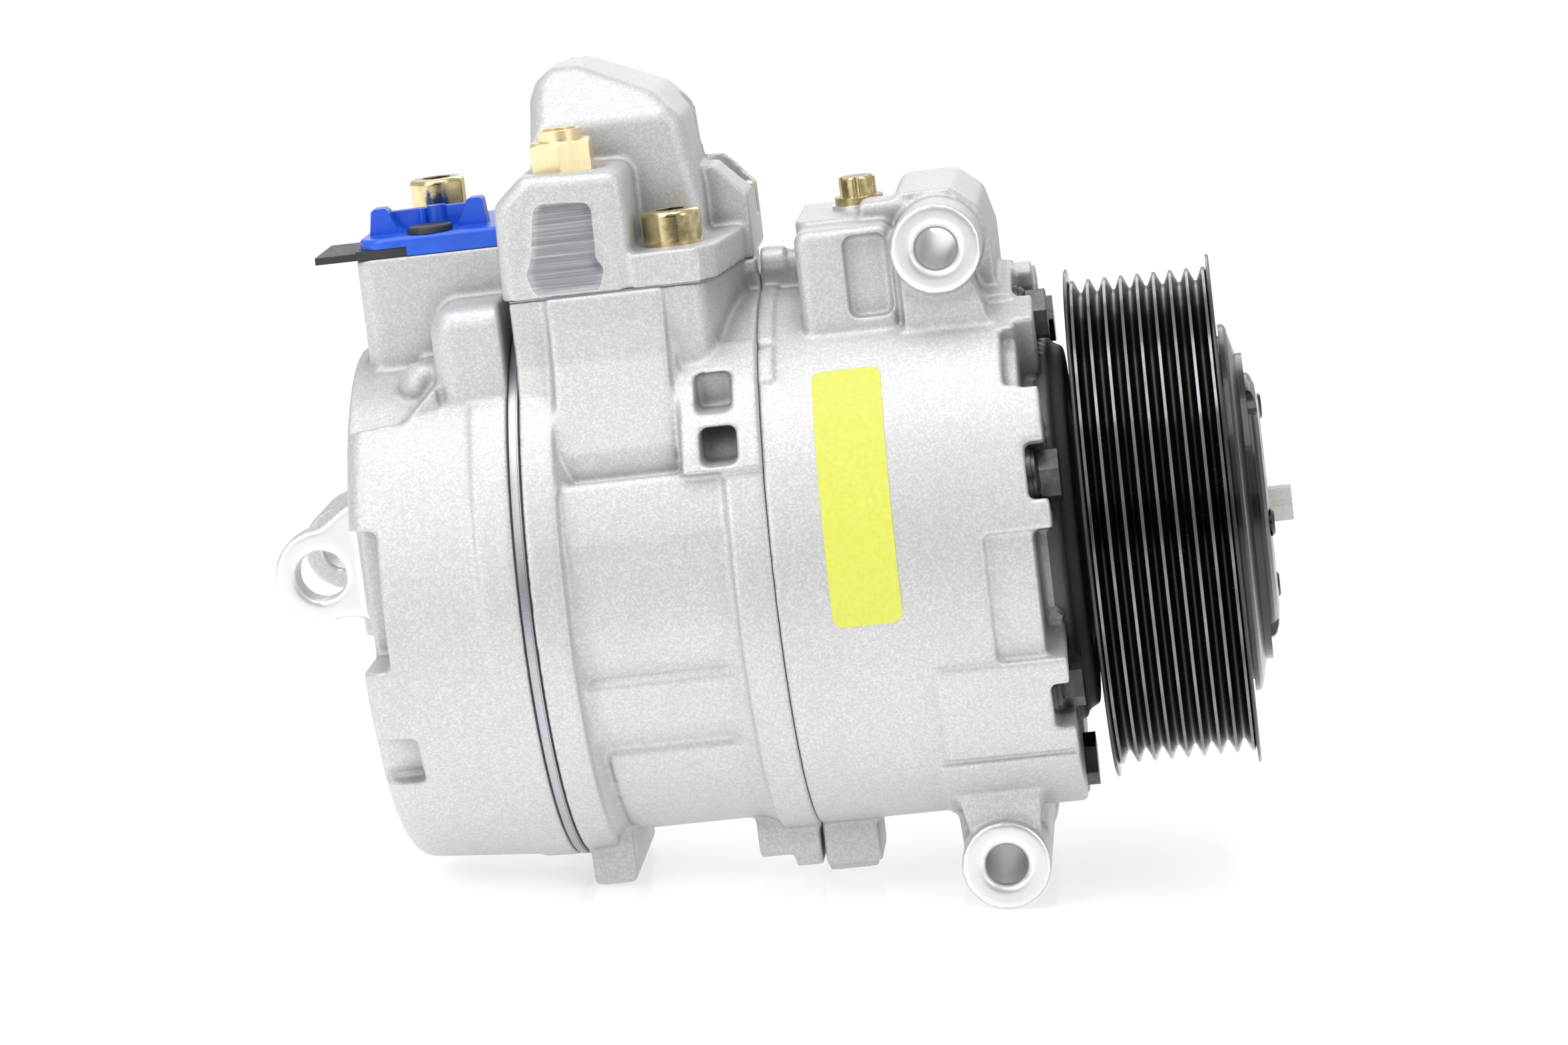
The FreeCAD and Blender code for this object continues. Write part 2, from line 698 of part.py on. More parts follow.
# The valve plate sits between thin reed plates and gaskets, rear to front.
STACK = (
    ("rear_gasket", 0.0, 0.3, "rear_rad - 0.3"),
    ("discharge_reeds", 0.3, 0.6, "rear_rad - 0.2"),
    ("valve_plate", 0.6, 1.9, "rear_rad"),
    ("suction_reeds", 1.9, 2.2, "rear_rad - 0.2"),
    ("block_gasket", 2.2, 2.5, "rear_rad - 0.3"),
)
for label, start, end, outer in STACK:
    layer = turned(label, [
        ("seam_rear + %g" % start, "3"),
        ("seam_rear + %g" % end, "3"),
        ("seam_rear + %g" % end, outer),
        ("seam_rear + %g" % start, outer),
    ])
    drilled(layer, label + "_bolt_holes", "bolt_circle", "bolt_hole", BOLT_COUNT, "bolt_phase")
    between = "bolt_phase + 180 / bolt_count"
    if label.endswith("gasket"):
        drilled(layer, label + "_windows", "cylinder_circle", "cylinder_bore", BOLT_COUNT, between)
    else:
        drilled(layer, label + "_out", "cylinder_circle - 8", "3", BOLT_COUNT, between)
        drilled(layer, label + "_in", "cylinder_circle + 7.5", "3.2", BOLT_COUNT, between)

seal = bound_item("Part::Torus", "seam_seal", Radius1="body_rad - 3", Radius2="0.9")
seal.Placement = Placement(Vector(dim("seam_front"), 0, 0), Rotation(Y_DIR, 90))
keep(seal, "seam_seal")

# ================================================================ front housing

RIM_FLOOR = dim("rim_floor")
RIM_FRONT = dim("rim_front")
SEAM = dim("seam_front")
BODY = dim("body_rad")
LUG = dim("lug_rad")
LUG_FACE = dim("lug_face")
LUG_X = dim("front_lug_x")
UPPER_Z = dim("upper_lug_z")
LOWER_Z = dim("lower_lug_z")
PLUG_X, PLUG_Y = -57.5, -3.0
BOLT_CIRCLE = dim("bolt_circle")

shell = rod_x(SEAM, RIM_FLOOR, BODY)
NOSE_FLANGE = dim("nose_flange_rad")
flange = joined(cone_x(RIM_FLOOR - 0.5, -20.5, NOSE_FLANGE + 2.5, NOSE_FLANGE + 1.5),
                cone_x(-20.5, dim("nose_flange_front"), NOSE_FLANGE, NOSE_FLANGE - 1.5))
nose = joined(rod_x(-19, dim("bearing_rear"), 22.5), rod_x(-13, dim("nose_tip"), dim("bearing_bore")))
pieces = [flange, nose]

# Castellated rim: a wall stands up beside each bolt.
for angle in BOLT_ANGLES:
    start, end = angle - 15, angle + 15
    if abs(angle - BOLT_ANGLES[0]) < 1:
        start, end = 9.7, 40.2
    pieces.append(sector(RIM_FLOOR - 0.5, RIM_FRONT, 43.5, BODY, start, end))
pieces.append(sector(-46.0, RIM_FLOOR + 0.2, 50.0, BODY + 1.2, 66.0, 84.0))
pieces.append(sector(-50.0, RIM_FRONT, 50.0, BODY + 1.0, -42.0, -17.6))
pieces.append(sector(-52.0, -50.0, 50.0, BODY + 0.7, -60.0, -44.0))

# Upper lug with the web that carries it, the filler platform and the two pads beside it.
web = prism_y([(-50, 48), (-50, 78.5), (-37, 78.5), (-31.5, 74), (-29.5, 66), (-29.5, 52)], -20, 24)
pieces.append(rounded(web, 3.0, lambda e: along(e, Y_DIR) and e.BoundBox.ZMin > 60))
pieces.append(rod_y(LUG_FACE, 24, LUG, LUG_X, UPPER_Z))
pieces.append(prism_y([(-49.2, 50), (-49.2, 66), (-45, 66), (-34, 60), (-31, 50)], -31, 20))
platform = block(-70.8, -45, -20, 16, 45, 74.6)
pieces.append(rounded(platform, 3.0, lambda e: along(e, Z_DIR) and e.BoundBox.YMax < 0))
pieces.append(rounded(block(-57, -46, -21, -9.8, 60, 77.5), 2.0, lambda e: e.BoundBox.ZMin > 77))
near_pad = block(-70.8, -50, -29.5, -15, 45, 73.4)
pieces.append(rounded(near_pad, 2.5,
                      lambda e: e.BoundBox.ZMin > 73 or (along(e, Z_DIR) and e.BoundBox.YMax < -29)))

# Lower lug, which is also one of the feet.
pieces.append(rod_y(LUG_FACE, 30, LUG, LUG_X, LOWER_Z))
pieces.append(rod_y(19, 30, LUG + 0.9, LUG_X, LOWER_Z + 1.2))
pieces.append(prism_y([(-51, -48), (-50, -66), (-31.2, -66), (-31.0, -48)], -21, 28))
pieces.append(prism_y([(-51, -44), (-47.5, -60), (-33, -60), (-31, -44)], -33, 10))
pieces.append(sector(-52, RIM_FRONT - 0.2, 40.0, BODY + 1.0, -74.0, -44.0))

# Small features beside the seam.
pieces.append(rounded(block(SEAM, -68.5, -14, 6, -67.5, -48), 3.0,
                      lambda e: along(e, X_DIR) and e.BoundBox.ZMax < -60))
pieces.append(rod_x(SEAM, -70, 5.0, -5, -65.0))
pieces.append(block(SEAM, -77, -12.5, -7.5, -64, -48))
pieces.append(rod_x(SEAM + 0.4, -75, 3.6, 0, 64.5))
pieces.append(rod_x(-76, -69.5, 3.0, 0, 64.0))
pieces.append(block(SEAM, -69.8, -2.5, 2.5, 55, 63))
pieces.append(sector(SEAM, -77.5, 50.0, BODY + 0.8, 48.0, 90.0))

front = joined(shell, *pieces)

# Hollows: crankcase, bearing bore, shaft passage, seal bore and circlip groove.
hollow = rod_x(SEAM - 1, dim("crankcase_front"), dim("crankcase_rad"))
passage = joined(rod_x(-40, -24.5, dim("shell_outer") + 0.02), rod_x(-30, 20, dim("shaft_rad") + 1))
passage = joined(passage, rod_x(dim("seal_bore_rear"), 20, dim("seal_bore") + 0.02),
                 rod_x(dim("seal_bore_rear") + 10, dim("seal_bore_rear") + 11.4, dim("seal_bore") + 0.8))
front = front.cut(hollow).cut(passage)
clip_groove = tube_x(dim("bearing_front + 0.05"), dim("bearing_front + 1.35"), dim("bearing_bore - 0.8"), 25)
front = front.cut(clip_groove)
front = front.cut(bolt_holes(SEAM - 1, 0, dim("bolt_hole")))
seat = joined(rod_x(RIM_FLOOR, 0, 7.1, -BOLT_CIRCLE, 0), block(RIM_FLOOR, 0, -70, -BOLT_CIRCLE, -6.1, 6.1))
seat = ring_of(seat, BOLT_ANGLES)
front = front.cut(seat)

# Recesses in the outside of the casting.
front = front.cut(sector(-36.6, RIM_FLOOR, BODY - 1.5, 64, -17.6, 9.7))
front = front.cut(sector(RIM_FLOOR, 0, 44, 64, -17.6, 9.7))
front = front.cut(sector(RIM_FLOOR - 3, RIM_FRONT + 1, 55, 59.05, 41.0, 56.0))
front = front.cut(rounded(block(-60.5, -51.2, -31, -27.0, 54, 71.5), 2.0, lambda e: along(e, Y_DIR)))
front = front.cut(prism_y([(-81, 50), (-81, 57), (-73, 57), (-71, 52)], -50, -30))
for hole_z in (UPPER_Z, LOWER_Z):
    bore = rod_y(-60, 60, dim("lug_bore"), LUG_X, hole_z)
    mouth = Part.makeCone(dim("lug_bore") + 1.1, dim("lug_bore"), 1.1, Vector(LUG_X, LUG_FACE, hole_z), Y_DIR)
    front = front.cut(bore).cut(mouth)
front = front.cut(rod_z(64, 90, 4.05, PLUG_X, PLUG_Y)).cut(rod_z(40, 66, 2.0, PLUG_X, PLUG_Y))
# Relief pockets in the dark nose flange, between its ribs.
for k in range(12):
    front = front.cut(sector(-22.0, -16.0, 27.0, 35.5, k * 30 + 4, k * 30 + 26))
front = front.cut(Part.makeTorus(BODY - 3, 0.95, Vector(SEAM, 0, 0), X_DIR))
part_feature("front_housing", front)

turned("oil_plug", [
    ("65.5", "0"),
    ("65.5", "3.6"),
    ("66", "4"),
    ("75.6", "4"),
    ("75.6", "5.25"),
    ("77.2", "5.25"),
    ("77.2", "4"),
    ("81.1", "4"),
    ("81.5", "3.6"),
    ("81.5", "0"),
])
plug = parts[-1]
flutes = new_sketch(plug, "plug_flutes", "YZ_Plane")
flutes.AttachmentOffset = Placement(Vector(0, 0, 77.2), Rotation())
circle = flutes.addGeometry(Part.Circle(Vector(4.4, 0, 0), Vector(0, 0, 1), 0.95), False)
fix_point(flutes, circle, 3, "4.4", "0")
index = flutes.addConstraint(Sketcher.Constraint("Radius", circle, 0.95))
cut = plug.newObject("PartDesign::Pocket", "plug_flute_cut")
cut.Profile = flutes
cut.Length = 5
cut.Reversed = True
around(plug, [cut], 6, "plug_flute_ring")
plug.Placement = Placement(Vector(PLUG_X, PLUG_Y, 0), Rotation(Y_DIR, -90))

washer = bound_item("Part::Cylinder", "plug_washer_disc", Radius="6", Height="1")
washer_hole = bound_item("Part::Cylinder", "plug_washer_hole", Radius="4.1", Height="1")
ring = doc.addObject("Part::Cut", "oil_plug_washer")
ring.Base = washer
ring.Tool = washer_hole
ring.Placement = Placement(Vector(PLUG_X, PLUG_Y, 74.6), Rotation())
keep(ring, "oil_plug_washer")

part_feature("label", sector(-70.0, -55.0, BODY + 0.01, BODY + 0.16, -5.0, 46.0))

# ================================================================ cylinder block

BLOCK_REAR = dim("block_rear")
SEAT = dim("cover_seat")
GASKET_BOTTOM = dim("cover_seat - cover_gasket")
pieces = [
    cone_x(BLOCK_REAR, -124.5, dim("rear_rad"), dim("rear_rad") - 0.4),
    cone_x(-125.0, -121.5, dim("rear_rad") - 1, 55.0),
    rod_x(-89.0, SEAM, 59.3),
    cone_x(-93.0, -89.0, 56.0, 58.0),
    barrel_pad(-124.8, -88.0, 40.0, [(30.0, 57.0), (28.5, 58.2), (16.0, 58.0), (13.0, 57.5), (-3.0, 57.3),
                                     (-14.0, 55.4)]),
    barrel_pad(-122.5, -89.0, 40.0, [(-13.8, 56.6), (-15.0, 57.4), (-26.0, 56.6), (-33.0, 54.9)]),
    barrel_pad(-121.0, -89.0, 40.0, [(-32.8, 55.9), (-34.0, 56.7), (-70.0, 56.2), (-150.0, 56.2)]),
    sector(-124.8, -97.0, 48.0, 57.8, 118.0, 190.0),
    sector(-97.6, SEAM, 48.0, 60.6, 28.0, 60.0),
]
bulge = [(-46.6, 26.0), (-47.0, 29.5), (-46.4, 34), (-43.0, 42), (-39, 52), (-37.3, 60),
         (-36.8, GASKET_BOTTOM), (28, GASKET_BOTTOM), (30, 50), (44, 36)]
for x0, x1, shift in ((-123.7, -99.0, 0.0), (-131.6, -97.5, 2.5)):
    corners = [Vector(x0, y + shift if y < 0 else y, z) for y, z in bulge]
    pieces.append(Part.Face(Part.makePolygon(corners + corners[:1])).extrude(Vector(x1 - x0, 0, 0)))
tower_plan = [(-131.6, -35.5), (-90.5, -35.5), (-82.5, 4), (-82.5, 27.5), (-131.6, 27.5)]
head = prism_z(tower_plan, 46, GASKET_BOTTOM)
pieces.append(rounded(head, 5.0, lambda e: along(e, Z_DIR) and e.BoundBox.XMin > -100))
pieces.append(prism_z([(-131.6, -34), (-98, -34), (-90, -10), (-90, 24), (-131.6, 24)], 40, 56))
# Round boss beside the seam, thin corner rib and feet.
footprint = [(-131.6, -36.5), (-90, -36.5), (-86.4, -31.3), (-81.0, -3), (-81.0, 28), (-131.6, 28)]
pieces.append(rod_x(-90, SEAM - 0.5, 3.6, 0, 64.5).cut(prism_z(footprint, GASKET_BOTTOM, 75)))
pieces.append(block(-90, SEAM, -2.5, 2.5, 52, 62))
rib_edge = [Vector(-125.6, -36, 46), Vector(-125.6, -53.2, 27.0), Vector(-125.6, -46, 30)]
pieces.append(Part.Face(Part.makePolygon(rib_edge + rib_edge[:1])).extrude(Vector(1.6, 0, 0)))
foot = block(-131, -121.5, -21, 21, -64.7, -50)
pieces.append(rounded(foot, 1.5, lambda e: along(e, Y_DIR)))
for foot in (block(-95, -81.5, -15, 5, -64.0, -50), block(-87.5, -81.5, -14, 4, -67.0, -50)):
    pieces.append(rounded(foot, 3.0, lambda e: along(e, X_DIR) and e.BoundBox.ZMax < -60))

cylinders = joined(rod_x(BLOCK_REAR, SEAM, 54.8), *pieces)
cylinder = rod_x(BLOCK_REAR - 1, SEAM + 1, dim("cylinder_bore"), -dim("cylinder_circle"), 0)
cylinders = cylinders.cut(ring_of(cylinder, CYLINDER_ANGLES))
cylinders = cylinders.cut(bolt_holes(BLOCK_REAR - 1, SEAM + 1, dim("bolt_hole")))
cylinders = cylinders.cut(rod_x(-122, -103.5, dim("shell_outer") + 0.02))
cylinders = cylinders.cut(rod_x(-125, SEAM + 1, dim("shaft_rad") + 1)).cut(rod_x(-87, SEAM + 1, 12.5))
# Muffler chamber under the cover and the recesses in the outside.
cylinders = cylinders.cut(block(-122, -104, -26, 17, 55.5, 70))
cylinders = cylinders.cut(prism_y([(-89, 50.5), (-88, 57), (-80, 57), (-80, 50.5)], -50, -33))
for x0, x1, z0, z1 in ((-94.2, -86.4, 39.5, 47.1), (-93.6, -85.8, 29.3, 36.8)):
    window = block(x0, x1, -60, -36, z0, z1)
    window = rounded(window, 1.5, lambda e: along(e, Y_DIR))
    cylinders = cylinders.cut(window.cut(rod_x(-100, SEAM, 52.5)))
cylinders = cylinders.cut(Part.makeTorus(BODY - 3, 0.95, Vector(SEAM, 0, 0), X_DIR))
# Each cover screw has a place and a seat height; it runs 12 mm into the block.
COVER_SCREWS = ((-96.5, -22.0, 73.3), (-126.3, 21.8, 80.0), (-88.0, 20.0, 73.3))
for x, y, seat_z in COVER_SCREWS:
    cylinders = cylinders.cut(rod_z(SEAT - 13.5, 80, dim("screw_rad") + 0.03, x, y))
part_feature("cylinder_block", cylinders)

# ================================================================ rear housing

REAR = dim("rear_face")
REAR_SEAM = dim("seam_rear")
LUG_R_X = dim("rear_lug_x")
LUG_R_Z = dim("rear_lug_z")
PORT_X = dim("port_x")
PORT_Y = dim("port_y")
TOWER_TOP = dim("tower_top")
CONTROL_X = dim("control_x")
CONTROL_Z = dim("control_z")
CAP_SCREW_X = dim("cap_screw_x")
CAP_SCREW_Y = dim("cap_screw_y")

drum = joined(cone_x(-142, REAR_SEAM, dim("rear_rad") - 0.3, dim("rear_rad")), cone_x(REAR, -142, 57.4, 59.5))
drum = rounded(drum, 4.0, lambda e: e.BoundBox.XMax < REAR + 0.1)
# A shelf is sunk into the drum behind the port tower, and a pocket behind the rear lug.
drum = drum.cut(sector(REAR - 1, -149.2, 55.3, 70, 48.5, 100))
drum = drum.cut(block(REAR - 2, -163.3, -70, -36.5, -6.0, 23.3))
tower = rounded(block(-166.0, REAR_SEAM, -17.5, 24, 40, TOWER_TOP), 3.5,
                lambda e: along(e, Z_DIR) and e.BoundBox.XMax < -140)
shoulder = block(-149.2, REAR_SEAM, -38, -10, 35, 66.2)
shoulder = rounded(shoulder, 5.0, lambda e: e.BoundBox.XMin < REAR_SEAM - 1 and (
    e.BoundBox.ZMin > 66 or (along(e, Z_DIR) and e.BoundBox.YMax < -30)))
pieces = [
    tower, shoulder,
    Part.makeSphere(5.0, Vector(-153.8, -25.5, 49.6)),
    rounded(block(-153.8, -148, -30.0, -15, 45.2, 54.4), 3.0, lambda e: along(e, X_DIR)),
    prism_y([(-158.5, 42.0), (-149.0, 50.5), (-149.0, 42.0)], -38.0, -25),
]
# Rear lug: a near ear and a far ear joined by a wall over the top and along the housing.
ear = [(LUG_R_X, LUG_R_Z + LUG - 0.2), (LUG_R_X + 7, 26.5), (-163, 30), (-163, 2),
       (LUG_R_X, LUG_R_Z - LUG + 0.2)]
for y0, y1, radius in ((LUG_FACE, -27.5, 10.0), (0.0, 24.0, 9.3)):
    pieces.append(rod_y(y0, y1, radius, LUG_R_X, LUG_R_Z))
    pieces.append(prism_y(ear, y0, y1))
pieces.append(prism_y([(LUG_R_X - 1, LUG_R_Z + LUG), (LUG_R_X + 6, 26.5), (-163, 30), (-163, 23),
                       (LUG_R_X + 6, 21), (LUG_R_X, LUG_R_Z + LUG - 3)], LUG_FACE + 1, 24))
pieces.append(block(-171.5, -163, LUG_FACE + 1, 24, -2, 26))
pieces.append(block(CONTROL_X - 9, CONTROL_X + 9, 30, 51.5, CONTROL_Z - 9, CONTROL_Z + 9))
rear = joined(drum, *pieces)

chamber = rod_x(-149.5, REAR_SEAM + 1, 30.0).cut(rod_x(-150, REAR_SEAM + 1, 6.0))
annulus = tube_x(-149.5, REAR_SEAM + 1, 33.0, 47.0)
rear = rear.cut(chamber).cut(annulus)
rear = rear.cut(bolt_holes(dim("bolt_end") - 1.0, REAR_SEAM + 1, dim("bolt_rad") + 0.03))
rear = rear.cut(rod_z(40, 90, dim("port_rad"), PORT_X, PORT_Y))
rear = rear.cut(rod_z(57, 90, dim("screw_rad") + 0.03, CAP_SCREW_X, CAP_SCREW_Y))
near_bore = rod_y(-60, 0, dim("rear_lug_bore"), LUG_R_X, LUG_R_Z)
rear = rear.cut(near_bore)
rear = rear.cut(rod_y(-2, 60, 4.85, LUG_R_X, LUG_R_Z))
rear = rear.cut(rod_y(-24, 60, dim("control_rad"), CONTROL_X, CONTROL_Z))
rear = rear.cut(block(CONTROL_X - 10, CONTROL_X + 10, 51.5, 70, CONTROL_Z - 12, CONTROL_Z + 12))
rear = rear.cut(rod_x(-152, -140, 2.0, 10, CONTROL_Z)).cut(rod_x(CONTROL_X, -140, 2.0, 0, CONTROL_Z + 4))
rear = rear.cut(sector(-172, -160.5, 54.6, 64, -34, -22))
part_feature("rear_housing", rear)

# ================================================================ control valve

valve = rod_y(-23, 48, dim("control_rad") - 0.05, CONTROL_X, CONTROL_Z)
for y in (-14, 2, 18, 34, 44):
    groove = rod_y(y, y + 2, dim("control_rad") + 1, CONTROL_X, CONTROL_Z)
    valve = valve.cut(groove.cut(rod_y(y - 1, y + 3, dim("control_rad") - 1.2, CONTROL_X, CONTROL_Z)))
valve = valve.cut(rod_y(-18, 34, 2.05, CONTROL_X, CONTROL_Z))
for port_y in (0, 10):
    valve = valve.cut(rod_x(CONTROL_X, CONTROL_X + 9, 1.5, port_y, CONTROL_Z))
part_feature("control_valve_body", valve)
spool = rod_y(-15, 30, 2.0, CONTROL_X, CONTROL_Z)
spool = spool.cut(rod_y(-2, 8, 3, CONTROL_X, CONTROL_Z).cut(rod_y(-3, 9, 1.2, CONTROL_X, CONTROL_Z)))
part_feature("control_valve_spool", spool)
plug_body = block(CONTROL_X - 7.5, CONTROL_X + 7.5, 51.7, 60, CONTROL_Z - 7.5, CONTROL_Z + 7.5)
plug_body = rounded(plug_body, 2.0, lambda e: along(e, Y_DIR))
plug_body = joined(plug_body, rod_y(48.2, 52, 6.5, CONTROL_X, CONTROL_Z))
plug_body = plug_body.cut(block(CONTROL_X - 5.5, CONTROL_X + 5.5, 53.5, 61, CONTROL_Z - 4.5, CONTROL_Z + 4.5))
for side in (-2.5, 2.5):
    plug_body = joined(plug_body, block(CONTROL_X + side - 0.4, CONTROL_X + side + 0.4, 53, 58.5,
                                        CONTROL_Z - 0.8, CONTROL_Z + 0.8))
part_feature("control_valve_connector", plug_body)

# ================================================================ manifold cover and its valves

block_a = prism_y([(-133, SEAT), (-104.5, SEAT), (-104.5, 91.5), (-126, 92.3), (-132.5, 86.4)], -36, 28)
shelf = prism_z([(-105, -36), (-90.5, -36), (-87, -31), (-82, 5), (-82, 28), (-105, 28)], SEAT, 73.6)
hump_outline = [(-126, SEAT), (-126, 105), (-124.6, 109), (-120.5, 112), (-114.5, 111.8), (-98, 104.8),
                (-92.6, 99), (-91.6, 90), (-90.5, 84), (-90.5, SEAT)]
hump = prism_y(hump_outline, -12, 28)
slope = [Vector(-130, -13, 99), Vector(-130, -13, 120), Vector(-130, 8, 120)]
hump = hump.cut(Part.Face(Part.makePolygon(slope + slope[:1])).extrude(Vector(50, 0, 0)))
corner = prism_y([(-92, SEAT), (-92, 87), (-88, 87), (-81.5, 80), (-81.5, SEAT)], -2, 28)
block_a = rounded(block_a, 3.0, lambda e: e.BoundBox.ZMin > 80 or (along(e, Z_DIR) and e.BoundBox.YMax < -30))
hump = rounded(hump, 4.5, lambda e: e.BoundBox.ZMin > 84 and not along(e, Z_DIR))
# A flat pad with a waist is machined on the near face.
pad_outline = [(-123.4, 85.0), (-122.4, 85.8), (-112.9, 85.1), (-112.0, 84.0), (-112.5, 73.5), (-110.9, 71),
               (-112.6, 66.8), (-116.5, 66.4), (-124.0, 66.6), (-125.6, 68.4), (-126.5, 71.6), (-125.1, 74.5)]
cover = joined(block_a, shelf, hump, corner, prism_y(pad_outline, -36.4, -35))
RELIEF_X, RELIEF_Y = -117.9, -22.0
CHECK_X, CHECK_Y = -110.0, 8.0
cover = cover.cut(rod_z(SEAT - 1, 84.5, 9.05, CHECK_X, CHECK_Y))
cover = cover.cut(rod_z(SEAT - 1, SEAT + 2, 11.05, CHECK_X, CHECK_Y))
cover = cover.cut(rod_z(80, 96, 7.0, CHECK_X, CHECK_Y)).cut(rod_y(CHECK_Y, 40, 7.0, CHECK_X, 92))
cover = cover.cut(rod_z(78, 100, 5.97, RELIEF_X, RELIEF_Y)).cut(rod_z(90.9, 100, 9.2, RELIEF_X, RELIEF_Y))
cover = cover.cut(rod_z(SEAT - 1, 79, 3.0, RELIEF_X, RELIEF_Y))
for x, y, seat_z in COVER_SCREWS:
    cover = cover.cut(rod_z(SEAT - 1, 120, dim("screw_rad") + 0.2, x, y))
    cover = cover.cut(rod_z(seat_z, 120, dim("screw_head_rad") + 0.9, x, y))
part_feature("manifold_cover", cover)

gasket_plan = [(-131.4, -35.6), (-90.6, -35.6), (-86.9, -30), (-82.4, 5), (-82.4, 27.7), (-131.4, 27.7)]
seat_gasket = prism_z(gasket_plan, GASKET_BOTTOM, SEAT)
seat_gasket = seat_gasket.cut(block(-122, -104, -26, 17, 60, 70))
for x, y, seat_z in COVER_SCREWS:
    seat_gasket = seat_gasket.cut(rod_z(60, 70, dim("screw_rad") + 0.3, x, y))
part_feature("manifold_gasket", seat_gasket)


SCREW_HEAD = 7.5


def cap_screw(x, y, seat_z, end_z, head_rad):
    """A socket screw standing on its seat."""
    top = seat_z + SCREW_HEAD
    head = rounded(rod_z(seat_z, top, head_rad, x, y), 1.1, lambda e: e.BoundBox.ZMin > top - 0.1)
    socket = hexagon_z(top - 4, top + 1, 6.0, x, y)
    return joined(head, rod_z(end_z, seat_z + 1, dim("screw_rad"), x, y)).cut(socket)


screws = [cap_screw(x, y, seat_z, SEAT - 12.5, dim("screw_head_rad")) for x, y, seat_z in COVER_SCREWS]
part_feature("cover_screws", Part.makeCompound(screws))

relief = joined(hexagon_z(91, 98, 12.6, RELIEF_X, RELIEF_Y), rod_z(79.2, 92, 5.94, RELIEF_X, RELIEF_Y),
                rod_z(90, 100.3, 4.7, RELIEF_X, RELIEF_Y))
relief = relief.common(joined(rod_z(79, 97.2, 7.3, RELIEF_X, RELIEF_Y),
                              Part.makeCone(7.3, 6.2, 0.8, Vector(RELIEF_X, RELIEF_Y, 97.2), Z_DIR),
                              rod_z(97, 100.3, 4.7, RELIEF_X, RELIEF_Y)))
relief = relief.cut(rod_z(81.5, 102, 3.6, RELIEF_X, RELIEF_Y)).cut(rod_z(79, 82, 2.0, RELIEF_X, RELIEF_Y))
part_feature("relief_body", relief)
poppet = joined(rod_z(81.55, 84.5, 3.5, RELIEF_X, RELIEF_Y), rod_z(84, 88, 1.6, RELIEF_X, RELIEF_Y))
part_feature("relief_poppet", poppet)
relief_coil = moved(upright(coil_spring(0, 11.9, 2.6, 0.4, 6)), RELIEF_X, RELIEF_Y, 84.55)
part_feature("relief_spring", relief_coil)
turned("relief_plug", [("96.5", "1.2"), ("99", "1.2"), ("99", "3.57"), ("96.5", "3.57")])
parts[-1].Placement = Placement(Vector(RELIEF_X, RELIEF_Y, 0), Rotation(Y_DIR, -90))

# Discharge check valve: a cup that lifts off its seat and slides in a ported sleeve.
turned("check_valve_body", [
    ("66.35", "4.5"),
    ("68.3", "4.5"),
    ("68.3", "6.5"),
    ("82.5", "6.5"),
    ("82.5", "2.5"),
    ("84.3", "2.5"),
    ("84.3", "9"),
    ("68.2", "9"),
    ("68.2", "11"),
    ("66.35", "11"),
])
sleeve = parts[-1]
sleeve.Placement = Placement(Vector(CHECK_X, CHECK_Y, 0), Rotation(Y_DIR, -90))
turned("check_valve_piston", [
    ("68.35", "0"),
    ("68.35", "6.45"),
    ("75.5", "6.45"),
    ("75.5", "5"),
    ("69.8", "5"),
    ("69.8", "0"),
])
parts[-1].Placement = Placement(Vector(CHECK_X, CHECK_Y, 0), Rotation(Y_DIR, -90))
check_coil = moved(upright(coil_spring(0, 12.6, 4.2, 0.45, 5)), CHECK_X, CHECK_Y, 69.85)
part_feature("check_valve_spring", check_coil)

# ================================================================ shipping cap of the suction port

STRAP_TOP = TOWER_TOP + dim("strap_thick")
CAP_TOP = STRAP_TOP + dim("cap_thick")
SCREW_SEAT = dim("cap_screw_seat")
DISC_X, DISC_Y = -149.6, -12.0
RUN = 0.05

flange_plan = block(-165.2, REAR_SEAM, -17.3, 20, TOWER_TOP + RUN, CAP_TOP)
cap_flange = rounded(flange_plan, 6.0, lambda e: along(e, Z_DIR) and e.BoundBox.XMax < -160)
cap_flange = rounded(cap_flange, 1.0, lambda e: e.BoundBox.ZMin > CAP_TOP - 0.1)
cap_flange = cap_flange.cut(block(-170, -154.5, -18, 8.1, TOWER_TOP - 1, STRAP_TOP + RUN))
horn_left = [(-163.4, CAP_TOP - 1), (-162.4, 85.9), (-161.8, 86.4), (-159.4, 86.4), (-158.7, 85.8),
             (-158.0, 83.6), (-157.1, 82.0), (-156.0, 81.1), (-155.0, CAP_TOP - 0.2)]
horn_right = [(-144.4, CAP_TOP - 0.2), (-143.7, 81.6), (-142.8, 83.0), (-142.0, 84.8), (-141.5, 86.2),
              (-140.8, 86.6), (-138.6, 86.6), (-138.0, 86.1), (-137.4, CAP_TOP - 1)]
post = joined(rod_z(CAP_TOP - 1, 85.6, 2.0, -148.6, -4.8), rod_z(CAP_TOP - 1, 85.2, 0.9, -151.8, -5.0))
cap = joined(cap_flange, prism_y(horn_left, -9, -4), prism_y(horn_right, -9, -4), post,
             block(-162.6, -138.2, -5, -2, CAP_TOP - 1, 85.2),
             rod_z(CAP_TOP - 1, SCREW_SEAT, 7.5, CAP_SCREW_X, CAP_SCREW_Y),
             rod_z(66, STRAP_TOP + 1, 7.7, PORT_X, PORT_Y))
cap = cap.cut(rod_z(50, 90, dim("screw_rad") + 0.3, CAP_SCREW_X, CAP_SCREW_Y))
cap = cap.cut(rod_z(60, STRAP_TOP + 1, 5.5, PORT_X, PORT_Y)).cut(rod_z(79, 90, 2.0, DISC_X, DISC_Y))
